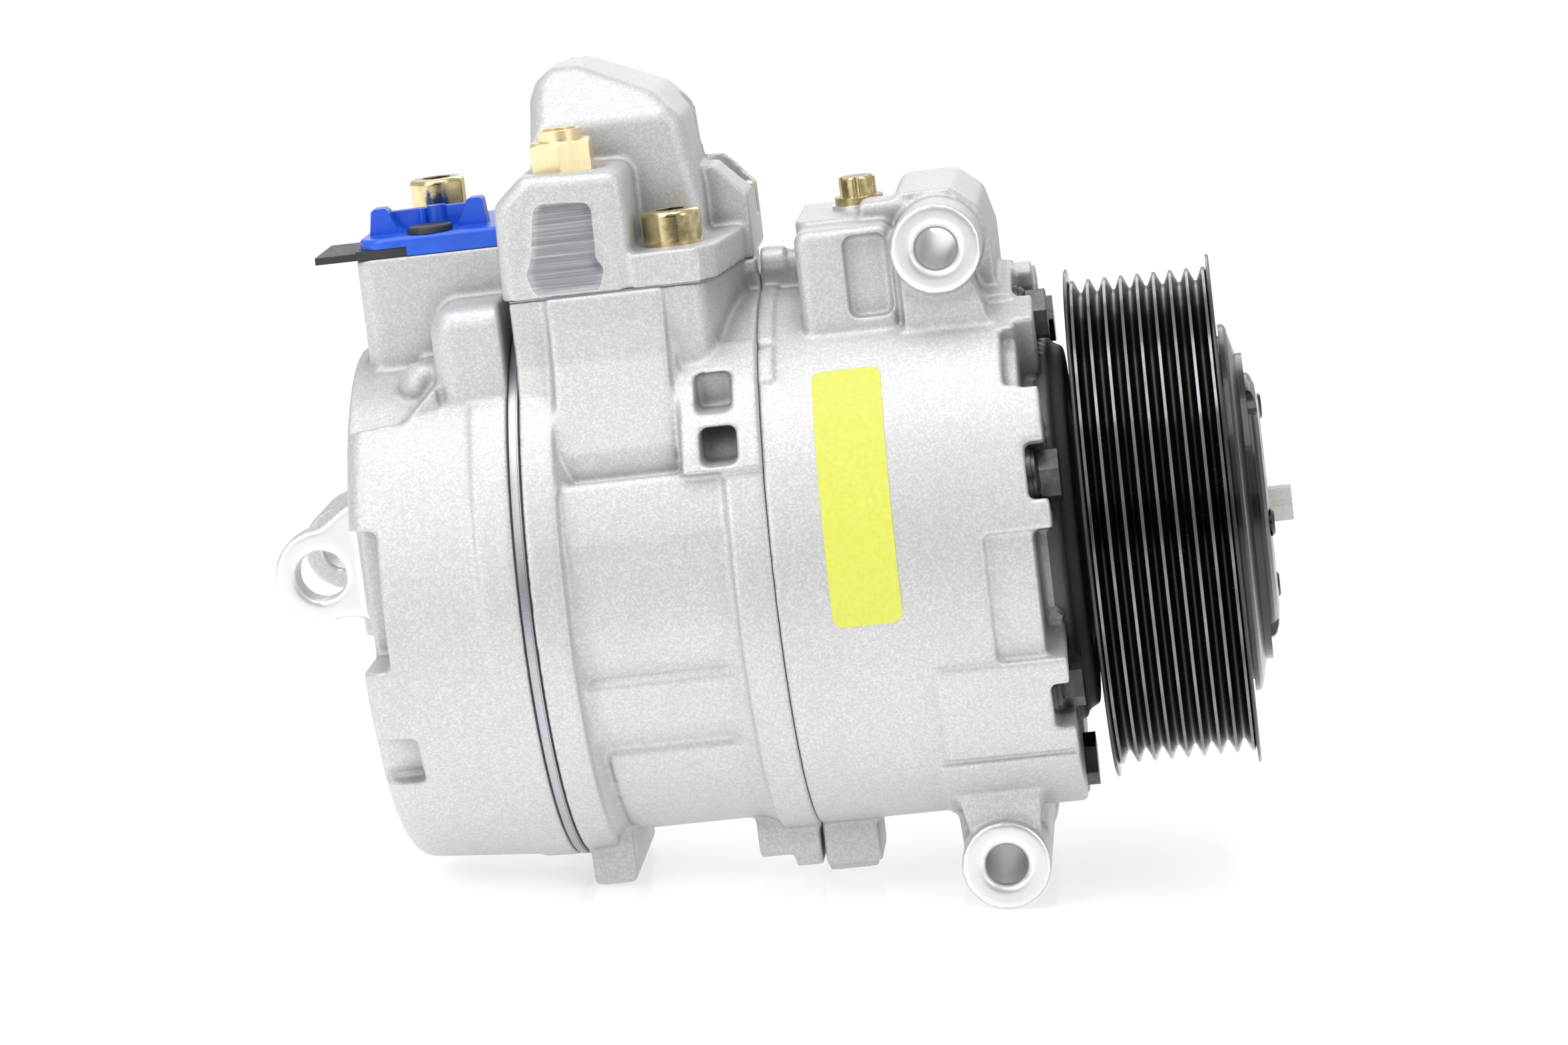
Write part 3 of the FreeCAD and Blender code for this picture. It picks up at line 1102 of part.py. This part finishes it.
ring_groove = rod_z(70, 72, 9, PORT_X, PORT_Y).cut(rod_z(69, 73, 6.4, PORT_X, PORT_Y))
part_feature("transit_cap", cap.cut(ring_groove))
port_ring = bound_item("Part::Torus", "transit_seal", Radius1="port_rad - 0.9", Radius2="0.65")
port_ring.Placement = Placement(Vector(PORT_X, PORT_Y, 71), Rotation())
keep(port_ring, "transit_seal")
strap = joined(block(-165.6, -154.55, -17, 8, TOWER_TOP + RUN, STRAP_TOP),
               block(-174.6, -165, -16.5, 7.5, TOWER_TOP + RUN, STRAP_TOP - 0.4))
part_feature("transit_strap", strap.cut(rod_z(70, 90, dim("port_rad"), PORT_X, PORT_Y)))
disc = rod_z(CAP_TOP + RUN, CAP_TOP + 1.5, 4.9, DISC_X, DISC_Y)
disc = rounded(disc, 0.6, lambda e: e.BoundBox.ZMin > CAP_TOP + 1)
part_feature("transit_plug", joined(disc, rod_z(79.05, CAP_TOP + 1, 1.97, DISC_X, DISC_Y)))
cap_bolt = cap_screw(CAP_SCREW_X, CAP_SCREW_Y, SCREW_SEAT + RUN, 58.0, dim("cap_screw_head"))
part_feature("transit_screw", cap_bolt)

# ================================================================ checks and files

doc.recompute()
for item in doc.Objects:
    if any(state in ("Invalid", "Error") for state in item.State):
        raise RuntimeError("%s did not recompute: %s" % (item.Name, item.State))
for item in parts:
    if item.Shape.isNull() or not item.Shape.isValid():
        raise RuntimeError("%s has no valid shape" % item.Label)
os.makedirs("parts", exist_ok=True)
for item in parts:
    item.Shape.exportStep("parts/%s.step" % item.Label)
    print(item.Label, len(item.Shape.Solids), round(item.Shape.Volume, 1))
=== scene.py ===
import json
import math

import bmesh
import bpy
from mathutils import Matrix, Vector


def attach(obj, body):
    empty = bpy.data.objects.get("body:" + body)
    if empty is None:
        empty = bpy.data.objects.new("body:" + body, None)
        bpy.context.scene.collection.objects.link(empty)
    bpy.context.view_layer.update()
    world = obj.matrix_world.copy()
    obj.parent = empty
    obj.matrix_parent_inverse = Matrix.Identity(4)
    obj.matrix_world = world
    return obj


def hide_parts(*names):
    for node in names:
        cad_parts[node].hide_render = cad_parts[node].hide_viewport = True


# Looks of an automotive refrigerant compressor, built round its CAD frame.
# The frame's +X runs along the shaft to the pulley, +Z is up and -Y faces the viewer.
# Blender's lengths are metres; a value named below in millimetres is multiplied by MM where it is used.

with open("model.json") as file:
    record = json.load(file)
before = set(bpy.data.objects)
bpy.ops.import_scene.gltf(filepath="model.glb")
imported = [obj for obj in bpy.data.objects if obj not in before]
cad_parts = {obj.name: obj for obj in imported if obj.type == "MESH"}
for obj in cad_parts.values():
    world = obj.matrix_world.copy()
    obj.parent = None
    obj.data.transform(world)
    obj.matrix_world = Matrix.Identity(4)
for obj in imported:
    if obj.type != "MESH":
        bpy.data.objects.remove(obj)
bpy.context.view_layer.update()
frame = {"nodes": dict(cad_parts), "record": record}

MM = 0.001

# Castings, in millimetres
BARREL_RAD = 59.0
LUG_FACE_Y = -35.0
LOWER_LUG = (-40.7, -66.0)           # x and z of its bore
LOWER_LUG_RAD = 9.6                  # of its outside, which stands on the floor
LUGS = (                             # x and z of each bore, radius of its milled face, radius of its bore
    (-40.7, 67.4, 10.2, 5.2),
    (*LOWER_LUG, 10.2, 5.2),
    (-179.2, 12.2, 16.0, 5.8),
)
PAD_FACE_Y = -36.15                  # the milled pad on the cover lies in front of this, above PAD_LOW_Z
PAD_LOW_Z = 66.9
NOSE_RAD = 42.6                      # the nose inside the pulley, in front of NOSE_START_X, painted dark as shade
NOSE_START_X = -24.0
CAST_VOXEL = 0.62                    # the castings' corners are eased on a mesh this fine
CAST_ROUNDS = 5                      # rounds of smoothing

# Pulley, in millimetres
HIGHLIGHT_CREST_RADS = (52.8, 53.4)            # painted highlights on the crests of the ridges lie between these
HIGHLIGHT_LIP_RAD = 55.2                       # the flanges carry a faint painted highlight outside this

# Label, in millimetres
LABEL_WIDTH, LABEL_HEIGHT = 14.6, 57.0
LABEL_CORNER, LABEL_THICK = 2.4, 0.16
LABEL_X = -62.2
LABEL_ANGLE = math.radians(21.5)     # up round the barrel from the side that faces the viewer
LABEL_ROWS = 48

# Studio, in metres
FLOOR_TILT = math.radians(6.93)      # the object stands nose-up on its lower lug and its foot
FLOOR_NEAR, FLOOR_FAR = -1.8, 1.3
FLOOR_SIDE = 1.8
FLOOR_GAP = 0.0002
AIM = Vector((-0.09, 0.0, 0.01))


# ---------------------------------------------------------------- node materials

def is_socket(value):
    return isinstance(value, bpy.types.NodeSocket)


class Shader:
    """A small builder for one node material."""

    def __init__(self, name):
        self.material = bpy.data.materials.new(name)
        self.material.use_nodes = True
        self.tree = self.material.node_tree
        self.surface = self.tree.nodes["Principled BSDF"]
        self.place = self.add("ShaderNodeTexCoord").outputs["Object"]

    def add(self, kind, **settings):
        node = self.tree.nodes.new(kind)
        for name, value in settings.items():
            setattr(node, name, value)
        return node

    def link(self, source, target):
        self.tree.links.new(source, target)

    def feed(self, target, value):
        """Sets a socket to a number, a colour or another socket."""
        if is_socket(value):
            self.link(value, target)
        else:
            target.default_value = value

    def put(self, name, value):
        """Sets one of the surface's own sockets."""
        self.feed(self.surface.inputs[name], value)

    def math(self, operation, a, b=0.0):
        node = self.add("ShaderNodeMath", operation=operation)
        self.feed(node.inputs[0], a)
        self.feed(node.inputs[1], b)
        return node.outputs[0]

    def between(self, value, low, high):
        """1 where the value is between two limits, with no soft edge."""
        above = self.math("GREATER_THAN", value, low)
        return self.math("MULTIPLY", above, self.math("LESS_THAN", value, high))

    def axes(self):
        split = self.add("ShaderNodeSeparateXYZ")
        self.link(self.place, split.inputs[0])
        return split.outputs

    def length(self, a, b):
        """The length of a flat vector with these two parts."""
        squares = [self.math("MULTIPLY", part, part) for part in (a, b)]
        return self.math("SQRT", self.math("ADD", *squares))

    def stretched(self, stretch):
        if stretch is None:
            return self.place
        mapping = self.add("ShaderNodeMapping")
        mapping.inputs["Scale"].default_value = stretch
        self.link(self.place, mapping.inputs["Vector"])
        return mapping.outputs[0]

    def noise(self, scale, detail=3.0, roughness=0.5, stretch=None):
        node = self.add("ShaderNodeTexNoise")
        node.inputs["Scale"].default_value = scale
        node.inputs["Detail"].default_value = detail
        node.inputs["Roughness"].default_value = roughness
        self.link(self.stretched(stretch), node.inputs["Vector"])
        return node.outputs["Fac"]

    def cells(self, scale):
        """A random grey for each grain of a shot-blasted or cast skin."""
        node = self.add("ShaderNodeTexVoronoi")
        node.inputs["Scale"].default_value = scale
        self.link(self.place, node.inputs["Vector"])
        split = self.add("ShaderNodeSeparateColor")
        self.link(node.outputs["Color"], split.inputs[0])
        return split.outputs[0]

    def painted_corner_shade(self, reach):
        """Painted shade: 0 deep in a corner, where shade falls, and 1 on an open face."""
        node = self.add("ShaderNodeAmbientOcclusion", samples=6, only_local=True)
        node.inputs["Distance"].default_value = reach
        return self.span(node.outputs["AO"], 0.25, 0.95, 0.0, 1.0)

    def span(self, value, low, high, out_low, out_high):
        """The value carried from one range to another, and held at its ends."""
        node = self.add("ShaderNodeMapRange")
        for index, number in enumerate((low, high, out_low, out_high)):
            node.inputs[index + 1].default_value = number
        self.link(value, node.inputs[0])
        return node.outputs[0]

    def ramp(self, value, *stops):
        node = self.add("ShaderNodeValToRGB")
        elements = node.color_ramp.elements
        while len(elements) < len(stops):
            elements.new(0.5)
        for element, (place, colour) in zip(elements, stops):
            element.position = place
            element.color = (*colour, 1)
        self.link(value, node.inputs["Fac"])
        return node.outputs["Color"]

    def mix(self, share, a, b):
        """The colour a where share is 0 and b where it is 1."""
        node = self.add("ShaderNodeMix", data_type="RGBA")
        self.feed(node.inputs["Factor"], share)
        for index, colour in ((6, a), (7, b)):
            self.feed(node.inputs[index], colour if is_socket(colour) else (*colour, 1))
        return node.outputs[2]

    def blend(self, share, a, b):
        """The number a where share is 0 and b where it is 1."""
        node = self.add("ShaderNodeMix", data_type="FLOAT")
        self.feed(node.inputs["Factor"], share)
        self.feed(node.inputs[2], a)
        self.feed(node.inputs[3], b)
        return node.outputs[0]

    def drift(self, source, low, high):
        """A colour that wanders between two tones as a noise does."""
        return self.mix(self.span(source, 0.3, 0.7, 0.0, 1.0), low, high)

    def bump(self, height, distance, strength=1.0, edge=None):
        """Bumps of a real height, on edges eased by a bevel where a radius is given."""
        node = self.add("ShaderNodeBump")
        node.inputs["Strength"].default_value = strength
        node.inputs["Distance"].default_value = distance
        self.feed(node.inputs["Height"], height)
        if edge:
            bevel = self.add("ShaderNodeBevel", samples=4)
            bevel.inputs["Radius"].default_value = edge
            self.link(bevel.outputs[0], node.inputs["Normal"])
        self.put("Normal", node.outputs[0])


def milled_lugs(s, axes):
    """1 on the milled faces of the lugs and in their bores."""
    off_plane = s.math("ABSOLUTE", s.math("SUBTRACT", axes[1], LUG_FACE_Y * MM))
    on_plane = s.math("LESS_THAN", off_plane, 0.25 * MM)
    milled = 0.0
    for x, z, face_rad, bore_rad in LUGS:
        away = s.length(s.math("SUBTRACT", axes[0], x * MM), s.math("SUBTRACT", axes[2], z * MM))
        face = s.math("MULTIPLY", on_plane, s.math("LESS_THAN", away, face_rad * MM))
        bore = s.math("LESS_THAN", away, bore_rad * MM)
        milled = s.math("MAXIMUM", milled, s.math("MAXIMUM", face, bore))
    return milled


def blasted_grey(s, grain):
    """The grey of the shot-blasted skin: a tone for each grain, broad drift, stains and painted shade in
    the corners.
    """
    broad = s.noise(30, 4.0, 0.6)
    stain = s.noise(150, 3.0, 0.7)
    grey = s.ramp(grain, (0.0, (0.53, 0.53, 0.534)), (0.5, (0.58, 0.58, 0.584)), (1.0, (0.68, 0.68, 0.684)))
    grey = s.mix(s.span(broad, 0.4, 0.75, 0.0, 0.22), grey, (0.44, 0.44, 0.446))
    grey = s.mix(s.span(stain, 0.66, 0.82, 0.0, 0.2), grey, (0.36, 0.36, 0.368))
    # painted shade: corners and recesses darken towards a near-black grey
    return s.mix(s.painted_corner_shade(5.0 * MM), (0.20, 0.20, 0.205), grey)


def cast_aluminium():
    """Shot-blasted casting with milled lug faces, bores and pad, and painted shade on the nose inside the
    pulley.
    """
    s = Shader("cast_aluminium")
    axes = s.axes()
    milled = milled_lugs(s, axes)
    proud = s.math("LESS_THAN", axes[1], PAD_FACE_Y * MM)
    pad = s.math("MULTIPLY", proud, s.math("GREATER_THAN", axes[2], PAD_LOW_Z * MM))
    inside = s.math("LESS_THAN", s.length(axes[1], axes[2]), NOSE_RAD * MM)
    painted_nose_shade = s.math("MULTIPLY", inside, s.math("GREATER_THAN", axes[0], NOSE_START_X * MM))
    smooth = s.math("MAXIMUM", milled, pad)

    grain = s.cells(2900)
    fine = s.noise(2600, 2.0, 0.7)
    swirl = s.noise(900, 2.0, 0.5, (1.0, 1.0, 9.0))
    bright = s.mix(s.span(swirl, 0.3, 0.7, 0.0, 0.5), (0.86, 0.865, 0.87), (0.76, 0.77, 0.78))
    lines = s.noise(700, 3.0, 0.6, (0.05, 1.0, 3.5))
    cut = s.ramp(lines, (0.3, (0.26, 0.27, 0.29)), (0.55, (0.40, 0.41, 0.43)), (0.75, (0.62, 0.63, 0.66)))
    colour = s.mix(pad, s.mix(milled, blasted_grey(s, grain), bright), cut)
    # painted shade: the nose inside the pulley takes a dark grey
    s.put("Base Color", s.mix(painted_nose_shade, colour, (0.15, 0.15, 0.156)))
    s.put("Metallic", s.blend(smooth, 0.45, 0.8))
    s.put("Roughness", s.blend(smooth, s.span(fine, 0.2, 0.8, 0.38, 0.58), 0.34))
    height = s.math("ADD", s.math("MULTIPLY", grain, 0.5), s.math("MULTIPLY", fine, 0.9))
    height = s.math("MULTIPLY", height, s.math("SUBTRACT", 1.0, smooth))
    s.bump(s.math("ADD", height, s.math("MULTIPLY", lines, pad)), 0.04 * MM, 0.3)
    return s.material


def gloss_black():
    """Coated pulley: deep black, with painted highlights of pale bare metal on the crests of its ridges and
    thinly on the flanges.
    """
    s = Shader("gloss_black")
    axes = s.axes()
    around = s.length(axes[1], axes[2])
    # painted highlight: the crests and, faintly, the flanges turn to pale bare metal, broken up by a noise
    crest_highlight = s.between(around, *(rad * MM for rad in HIGHLIGHT_CREST_RADS))
    lip_highlight = s.math("MULTIPLY", s.math("GREATER_THAN", around, HIGHLIGHT_LIP_RAD * MM), 0.25)
    highlight_breakup = s.noise(70, 4.0, 0.6, (3.0, 1.0, 1.0))
    painted_highlight = s.math("MULTIPLY", s.math("MAXIMUM", crest_highlight, lip_highlight), s.span(highlight_breakup, 0.3, 0.6, 0.3, 0.85))
    dust = s.cells(3600)
    black = s.mix(s.span(dust, 0.99, 1.0, 0.0, 0.4), (0.002, 0.002, 0.0025), (0.12, 0.12, 0.12))
    s.put("Base Color", s.mix(painted_highlight, black, (0.31, 0.31, 0.33)))
    s.put("Metallic", s.math("MULTIPLY", painted_highlight, 0.9))
    s.put("Roughness", s.span(s.noise(90, 3.0), 0.3, 0.7, 0.14, 0.22))
    s.put("Specular IOR Level", 0.3)
    s.bump(s.noise(260, 2.0, 0.5), 0.02 * MM, 0.4, edge=0.08 * MM)
    return s.material


def satin_black():
    """Hub and limiter: satin black coat with a blue cast and fine orange peel."""
    s = Shader("satin_black")
    s.put("Base Color", s.drift(s.noise(120, 4.0), (0.006, 0.007, 0.009), (0.013, 0.015, 0.02)))
    s.put("Roughness", s.span(s.noise(400, 3.0), 0.3, 0.7, 0.2, 0.32))
    s.put("Coat Weight", 0.3)
    s.bump(s.noise(1500, 2.0), 0.02 * MM, 0.6, edge=0.3 * MM)
    return s.material


def ground_steel(name, low, high, roughness):
    """Turned or ground metal, with fine lines round the part."""
    s = Shader(name)
    lines = s.noise(1400, 3.0, 0.6, (1.0, 6.0, 6.0))
    s.put("Base Color", s.drift(lines, low, high))
    s.put("Metallic", 1.0)
    s.put("Roughness", s.span(lines, 0.3, 0.7, roughness - 0.05, roughness + 0.08))
    s.bump(lines, 0.02 * MM, 0.4, edge=0.15 * MM)
    return s.material


def plated(name, tones, roughness):
    """Plating whose tint drifts between several tones, as on passivated zinc, and shifts towards its
    brighter tones where the surface turns away from the viewer, a painted sheen.
    """
    s = Shader(name)
    facing = s.add("ShaderNodeLayerWeight")
    facing.inputs["Blend"].default_value = 0.35
    wander = s.math("MULTIPLY", s.noise(190, 3.0, 0.6), 0.75)
    # painted sheen: the facing term lifts the tone towards the outline as seen from the camera
    tint_and_painted_sheen = s.math("ADD", wander, s.math("MULTIPLY", facing.outputs["Facing"], 0.45))
    stops = [(0.25 + 0.55 * i / (len(tones) - 1), tone) for i, tone in enumerate(tones)]
    s.put("Base Color", s.ramp(tint_and_painted_sheen, *stops))
    s.put("Metallic", 1.0)
    specks = s.noise(1600, 2.0, 0.5)
    s.put("Roughness", s.span(specks, 0.3, 0.75, roughness - 0.04, roughness + 0.12))
    s.bump(specks, 0.02 * MM, 0.4, edge=0.25 * MM)
    return s.material


def brass():
    """Drawn hexagon brass, brushed along its flats."""
    s = Shader("brass")
    lines = s.noise(1500, 3.0, 0.6, (1.0, 1.0, 0.06))
    s.put("Base Color", s.drift(lines, (0.90, 0.74, 0.42), (0.97, 0.84, 0.56)))
    s.put("Metallic", 0.95)
    s.put("Roughness", s.span(lines, 0.3, 0.7, 0.26, 0.40))
    s.bump(lines, 0.03 * MM, 0.6, edge=0.2 * MM)
    return s.material


def moulded(name, low, high, roughness, coat=0.0, glow=0.0):
    """Moulded plastic or rubber with a fine skin."""
    s = Shader(name)
    s.put("Base Color", s.drift(s.noise(140, 4.0), low, high))
    s.put("Roughness", s.span(s.noise(500, 3.0), 0.3, 0.7, roughness - 0.06, roughness + 0.08))
    s.put("Coat Weight", coat)
    s.put("Coat Roughness", 0.12)
    if glow:
        s.put("Subsurface Weight", glow)
        s.put("Subsurface Radius", (0.001, 0.001, 0.003))
        s.put("Subsurface Scale", 0.5)
    s.bump(s.noise(1800, 2.0), 0.03 * MM, 0.5, edge=0.25 * MM)
    return s.material


def label_film():
    """Plain yellow film with a faint paper tooth."""
    s = Shader("label_film")
    tooth = s.noise(900, 3.0, 0.6)
    s.put("Base Color", s.drift(tooth, (0.63, 0.66, 0.09), (0.69, 0.72, 0.12)))
    s.put("Roughness", s.span(tooth, 0.3, 0.7, 0.42, 0.55))
    s.bump(tooth, 0.01 * MM, 0.4)
    return s.material


def floor_white():
    """Pale floor with a faint gloss, lifted towards white as an overlit studio floor is."""
    s = Shader("floor_white")
    s.put("Base Color", s.drift(s.noise(8, 2.0), (0.90, 0.90, 0.905), (0.92, 0.92, 0.925)))
    s.put("Roughness", 0.16)
    s.put("Specular IOR Level", 0.35)
    s.put("Emission Color", (1.0, 1.0, 1.0, 1.0))
    s.put("Emission Strength", 0.4)
    return s.material


def matt(name, shade):
    s = Shader(name)
    s.put("Base Color", s.mix(s.noise(3.0), shade, tuple(1.2 * part for part in shade)))
    s.put("Roughness", 0.9)
    return s.material


ZINC_TONES = ((0.32, 0.27, 0.14), (0.60, 0.49, 0.26), (0.84, 0.73, 0.43), (0.66, 0.50, 0.36))
NICKEL_TONES = ((0.05, 0.05, 0.05), (0.10, 0.10, 0.10), (0.18, 0.175, 0.165))

FINISH = {
    "cast_aluminium": cast_aluminium(),
    "pulley_black": gloss_black(),
    "damper_rubber": moulded("damper_rubber", (0.012, 0.012, 0.012), (0.025, 0.025, 0.025), 0.6),
    "hub_black": satin_black(),
    "bearing_steel": ground_steel("bearing_steel", (0.36, 0.36, 0.35), (0.52, 0.52, 0.50), 0.3),
    "cage_plastic": moulded("cage_plastic", (0.20, 0.13, 0.06), (0.28, 0.19, 0.10), 0.5),
    "dark_steel": plated("dark_steel", NICKEL_TONES, 0.3),
    "spring_steel": ground_steel("spring_steel", (0.35, 0.35, 0.36), (0.5, 0.5, 0.52), 0.32),
    "plate_steel": ground_steel("plate_steel", (0.36, 0.37, 0.39), (0.52, 0.53, 0.55), 0.34),
    "piston_aluminium": ground_steel("piston_aluminium", (0.62, 0.62, 0.61), (0.78, 0.78, 0.77), 0.36),
    "gasket_dark": moulded("gasket_dark", (0.018, 0.018, 0.02), (0.035, 0.035, 0.037), 0.6),
    "yellow_zinc": plated("yellow_zinc", ZINC_TONES, 0.14),
    "washer_aluminium": ground_steel("washer_aluminium", (0.74, 0.74, 0.75), (0.86, 0.86, 0.87), 0.3),
    "valve_brass": brass(),
    "valve_plastic": moulded("valve_plastic", (0.03, 0.03, 0.033), (0.05, 0.05, 0.055), 0.45),
    "valve_steel": ground_steel("valve_steel", (0.52, 0.52, 0.53), (0.68, 0.68, 0.69), 0.25),
    "cap_blue": moulded("cap_blue", (0.006, 0.085, 0.62), (0.010, 0.115, 0.72), 0.34, coat=0.25, glow=0.15),
    "strap_dark": moulded("strap_dark", (0.02, 0.021, 0.024), (0.035, 0.036, 0.04), 0.5),
    "label_yellow": label_film(),
}
SLOT_OF = {row["node"]: row["material_slot"] for row in frame["record"]["subparts"]}


def dress(obj, slot):
    obj.data.materials.clear()
    obj.data.materials.append(FINISH[slot])


for name, node in frame["nodes"].items():
    dress(node, SLOT_OF[name])


# ---------------------------------------------------------------- castings

def add_object(name, data):
    obj = bpy.data.objects.new(name, data)
    bpy.context.scene.collection.objects.link(obj)
    return obj


def take_place(obj, node):
    """Dresses a piece as its CAD node, and puts it in the node's place on the casing."""
    dress(obj, SLOT_OF[node])
    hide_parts(node)
    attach(obj, "casing")


def settle(obj):
    """Gives an object the mesh that its modifiers make, and drops them."""
    graph = bpy.context.evaluated_depsgraph_get()
    rough = obj.data
    obj.data = bpy.data.meshes.new_from_object(obj.evaluated_get(graph))
    obj.modifiers.clear()
    bpy.data.meshes.remove(rough)


def casting(node):
    """The node as it comes out of a mould: the same form with every corner eased."""
    obj = add_object(node + "_cast", frame["nodes"][node].data.copy())
    remesh = obj.modifiers.new("skin", "REMESH")
    remesh.mode = "VOXEL"
    remesh.voxel_size = CAST_VOXEL * MM * 1.0
    ease = obj.modifiers.new("ease", "SMOOTH")
    ease.factor = 0.5
    ease.iterations = CAST_ROUNDS
    settle(obj)
    obj.data.shade_smooth()
    take_place(obj, node)


for node in ("front_housing", "cylinder_block", "rear_housing", "manifold_cover"):
    casting(node)


# ---------------------------------------------------------------- label

def rounded_outline(width, height, corner, steps=8):
    """Points round a rectangle with round corners, centred on the origin."""
    points = []
    for quarter, (side_x, side_y) in enumerate(((1, 1), (-1, 1), (-1, -1), (1, -1))):
        for i in range(steps + 1):
            turn = math.radians(90 * (quarter + i / steps))
            points.append((side_x * (width / 2 - corner) + corner * math.cos(turn),
                           side_y * (height / 2 - corner) + corner * math.sin(turn)))
    return points


def on_barrel(along, round_barrel, rise):
    """The place of a point of the label, from its middle, its two ways and its height over the barrel."""
    angle = LABEL_ANGLE + round_barrel / (BARREL_RAD * MM)
    rad = BARREL_RAD * MM + rise
    return Vector((LABEL_X * MM + along, -rad * math.cos(angle), rad * math.sin(angle)))


def sticker():
    """A thin film with round corners, cut into rows and bent round the barrel."""
    height = LABEL_HEIGHT * MM
    bm = bmesh.new()
    outline = rounded_outline(LABEL_WIDTH * MM, height, LABEL_CORNER * MM)
    bm.faces.new([bm.verts.new((x, y, 0.0)) for x, y in outline])
    for i in range(1, LABEL_ROWS):
        row = (0, height * (i / LABEL_ROWS - 0.5), 0)
        everything = bm.verts[:] + bm.edges[:] + bm.faces[:]
        bmesh.ops.bisect_plane(bm, geom=everything, plane_co=row, plane_no=(0, 1, 0))
    top = bmesh.ops.extrude_face_region(bm, geom=bm.faces[:])
    for vert in [item for item in top["geom"] if isinstance(item, bmesh.types.BMVert)]:
        vert.co.z = LABEL_THICK * MM
    for vert in bm.verts:
        vert.co = on_barrel(*vert.co)
    bmesh.ops.recalc_face_normals(bm, faces=bm.faces[:])
    mesh = bpy.data.meshes.new("label_sticker")
    bm.to_mesh(mesh)
    bm.free()
    return add_object("label_sticker", mesh)


take_place(sticker(), "label")


# ---------------------------------------------------------------- floor, light and camera

def on_floor(x, y, z):
    """A point given along the tilted floor, from the place under the lower lug."""
    turn = Matrix.Rotation(FLOOR_TILT, 3, "Y")
    bore = Vector((LOWER_LUG[0], 0, LOWER_LUG[1])) * MM
    return bore + turn @ Vector((x, y, z - LOWER_LUG_RAD * MM))


def sheet(name, corners, material):
    """A flat piece of the studio."""
    mesh = bpy.data.meshes.new(name)
    mesh.from_pydata(corners, [], [range(len(corners))])
    mesh.materials.append(material)
    obj = add_object(name, mesh)
    return obj


def soft_light(name, place, width, height, power):
    """A rectangular light aimed at the middle of the object."""
    data = bpy.data.lights.new(name, "AREA")
    data.shape = "RECTANGLE"
    data.size = width
    data.size_y = height
    data.energy = power
    obj = add_object(name, data)
    obj.location = place
    obj.rotation_euler = (AIM - obj.location).to_track_quat("-Z", "Y").to_euler()


def white_world():
    """White all round, softer as light than it looks behind the object."""
    world = bpy.data.worlds.new("studio")
    world.use_nodes = True
    tree = world.node_tree
    background = tree.nodes["Background"]
    seen = tree.nodes.new("ShaderNodeLightPath")
    level = tree.nodes.new("ShaderNodeMapRange")
    level.inputs["To Min"].default_value = 0.6
    level.inputs["To Max"].default_value = 1.1
    tree.links.new(seen.outputs["Is Camera Ray"], level.inputs["Value"])
    tree.links.new(level.outputs[0], background.inputs["Strength"])
    background.inputs["Color"].default_value = (1, 1, 1, 1)
    bpy.context.scene.world = world


def photo_camera():
    """The camera solved from the photograph."""
    data = bpy.data.cameras.new("camera")
    data.sensor_width = 36.0
    data.lens = 119.34
    data.clip_end = 50
    right = Vector((0.990599, 0.067338, -0.119076))
    up = Vector((0.106102, 0.171230, 0.979501))
    forward = Vector((-0.086347, 0.982927, -0.162476))
    obj = add_object("camera", data)
    turn = Matrix((right, up, -forward)).transposed().to_4x4()
    obj.matrix_world = Matrix.Translation((0.015852, -1.117803, 0.192097)) @ turn
    bpy.context.scene.camera = obj


FLOOR_NEAR_EDGE = [on_floor(x, FLOOR_NEAR, -FLOOR_GAP) for x in (-FLOOR_SIDE, FLOOR_SIDE)]
FLOOR_FAR_EDGE = [on_floor(x, FLOOR_FAR, -FLOOR_GAP) for x in (FLOOR_SIDE, -FLOOR_SIDE)]
sheet("floor", FLOOR_NEAR_EDGE + FLOOR_FAR_EDGE, floor_white())

soft_light("top", (-0.15, -0.3, 1.3), 1.3, 1.0, 10)
soft_light("front_left", (-0.85, -1.2, 0.8), 0.9, 1.1, 7.2)
soft_light("front_right", (1.1, -0.9, 0.55), 0.45, 1.0, 3.5)
soft_light("back", (0.1, 1.3, 0.8), 1.4, 0.9, 5)

# A dark card behind the camera, seen only in the reflections of the black and plated parts.
CARD_CORNERS = [(-1.0, -1.9, -0.5), (0.9, -1.9, -0.5), (0.9, -2.3, 0.75), (-1.0, -2.3, 0.75)]
card = sheet("dark_card", CARD_CORNERS, matt("dark_card", (0.02, 0.02, 0.02)))
card.visible_camera = False

white_world()
photo_camera()
bpy.context.scene.view_settings.view_transform = "Standard"
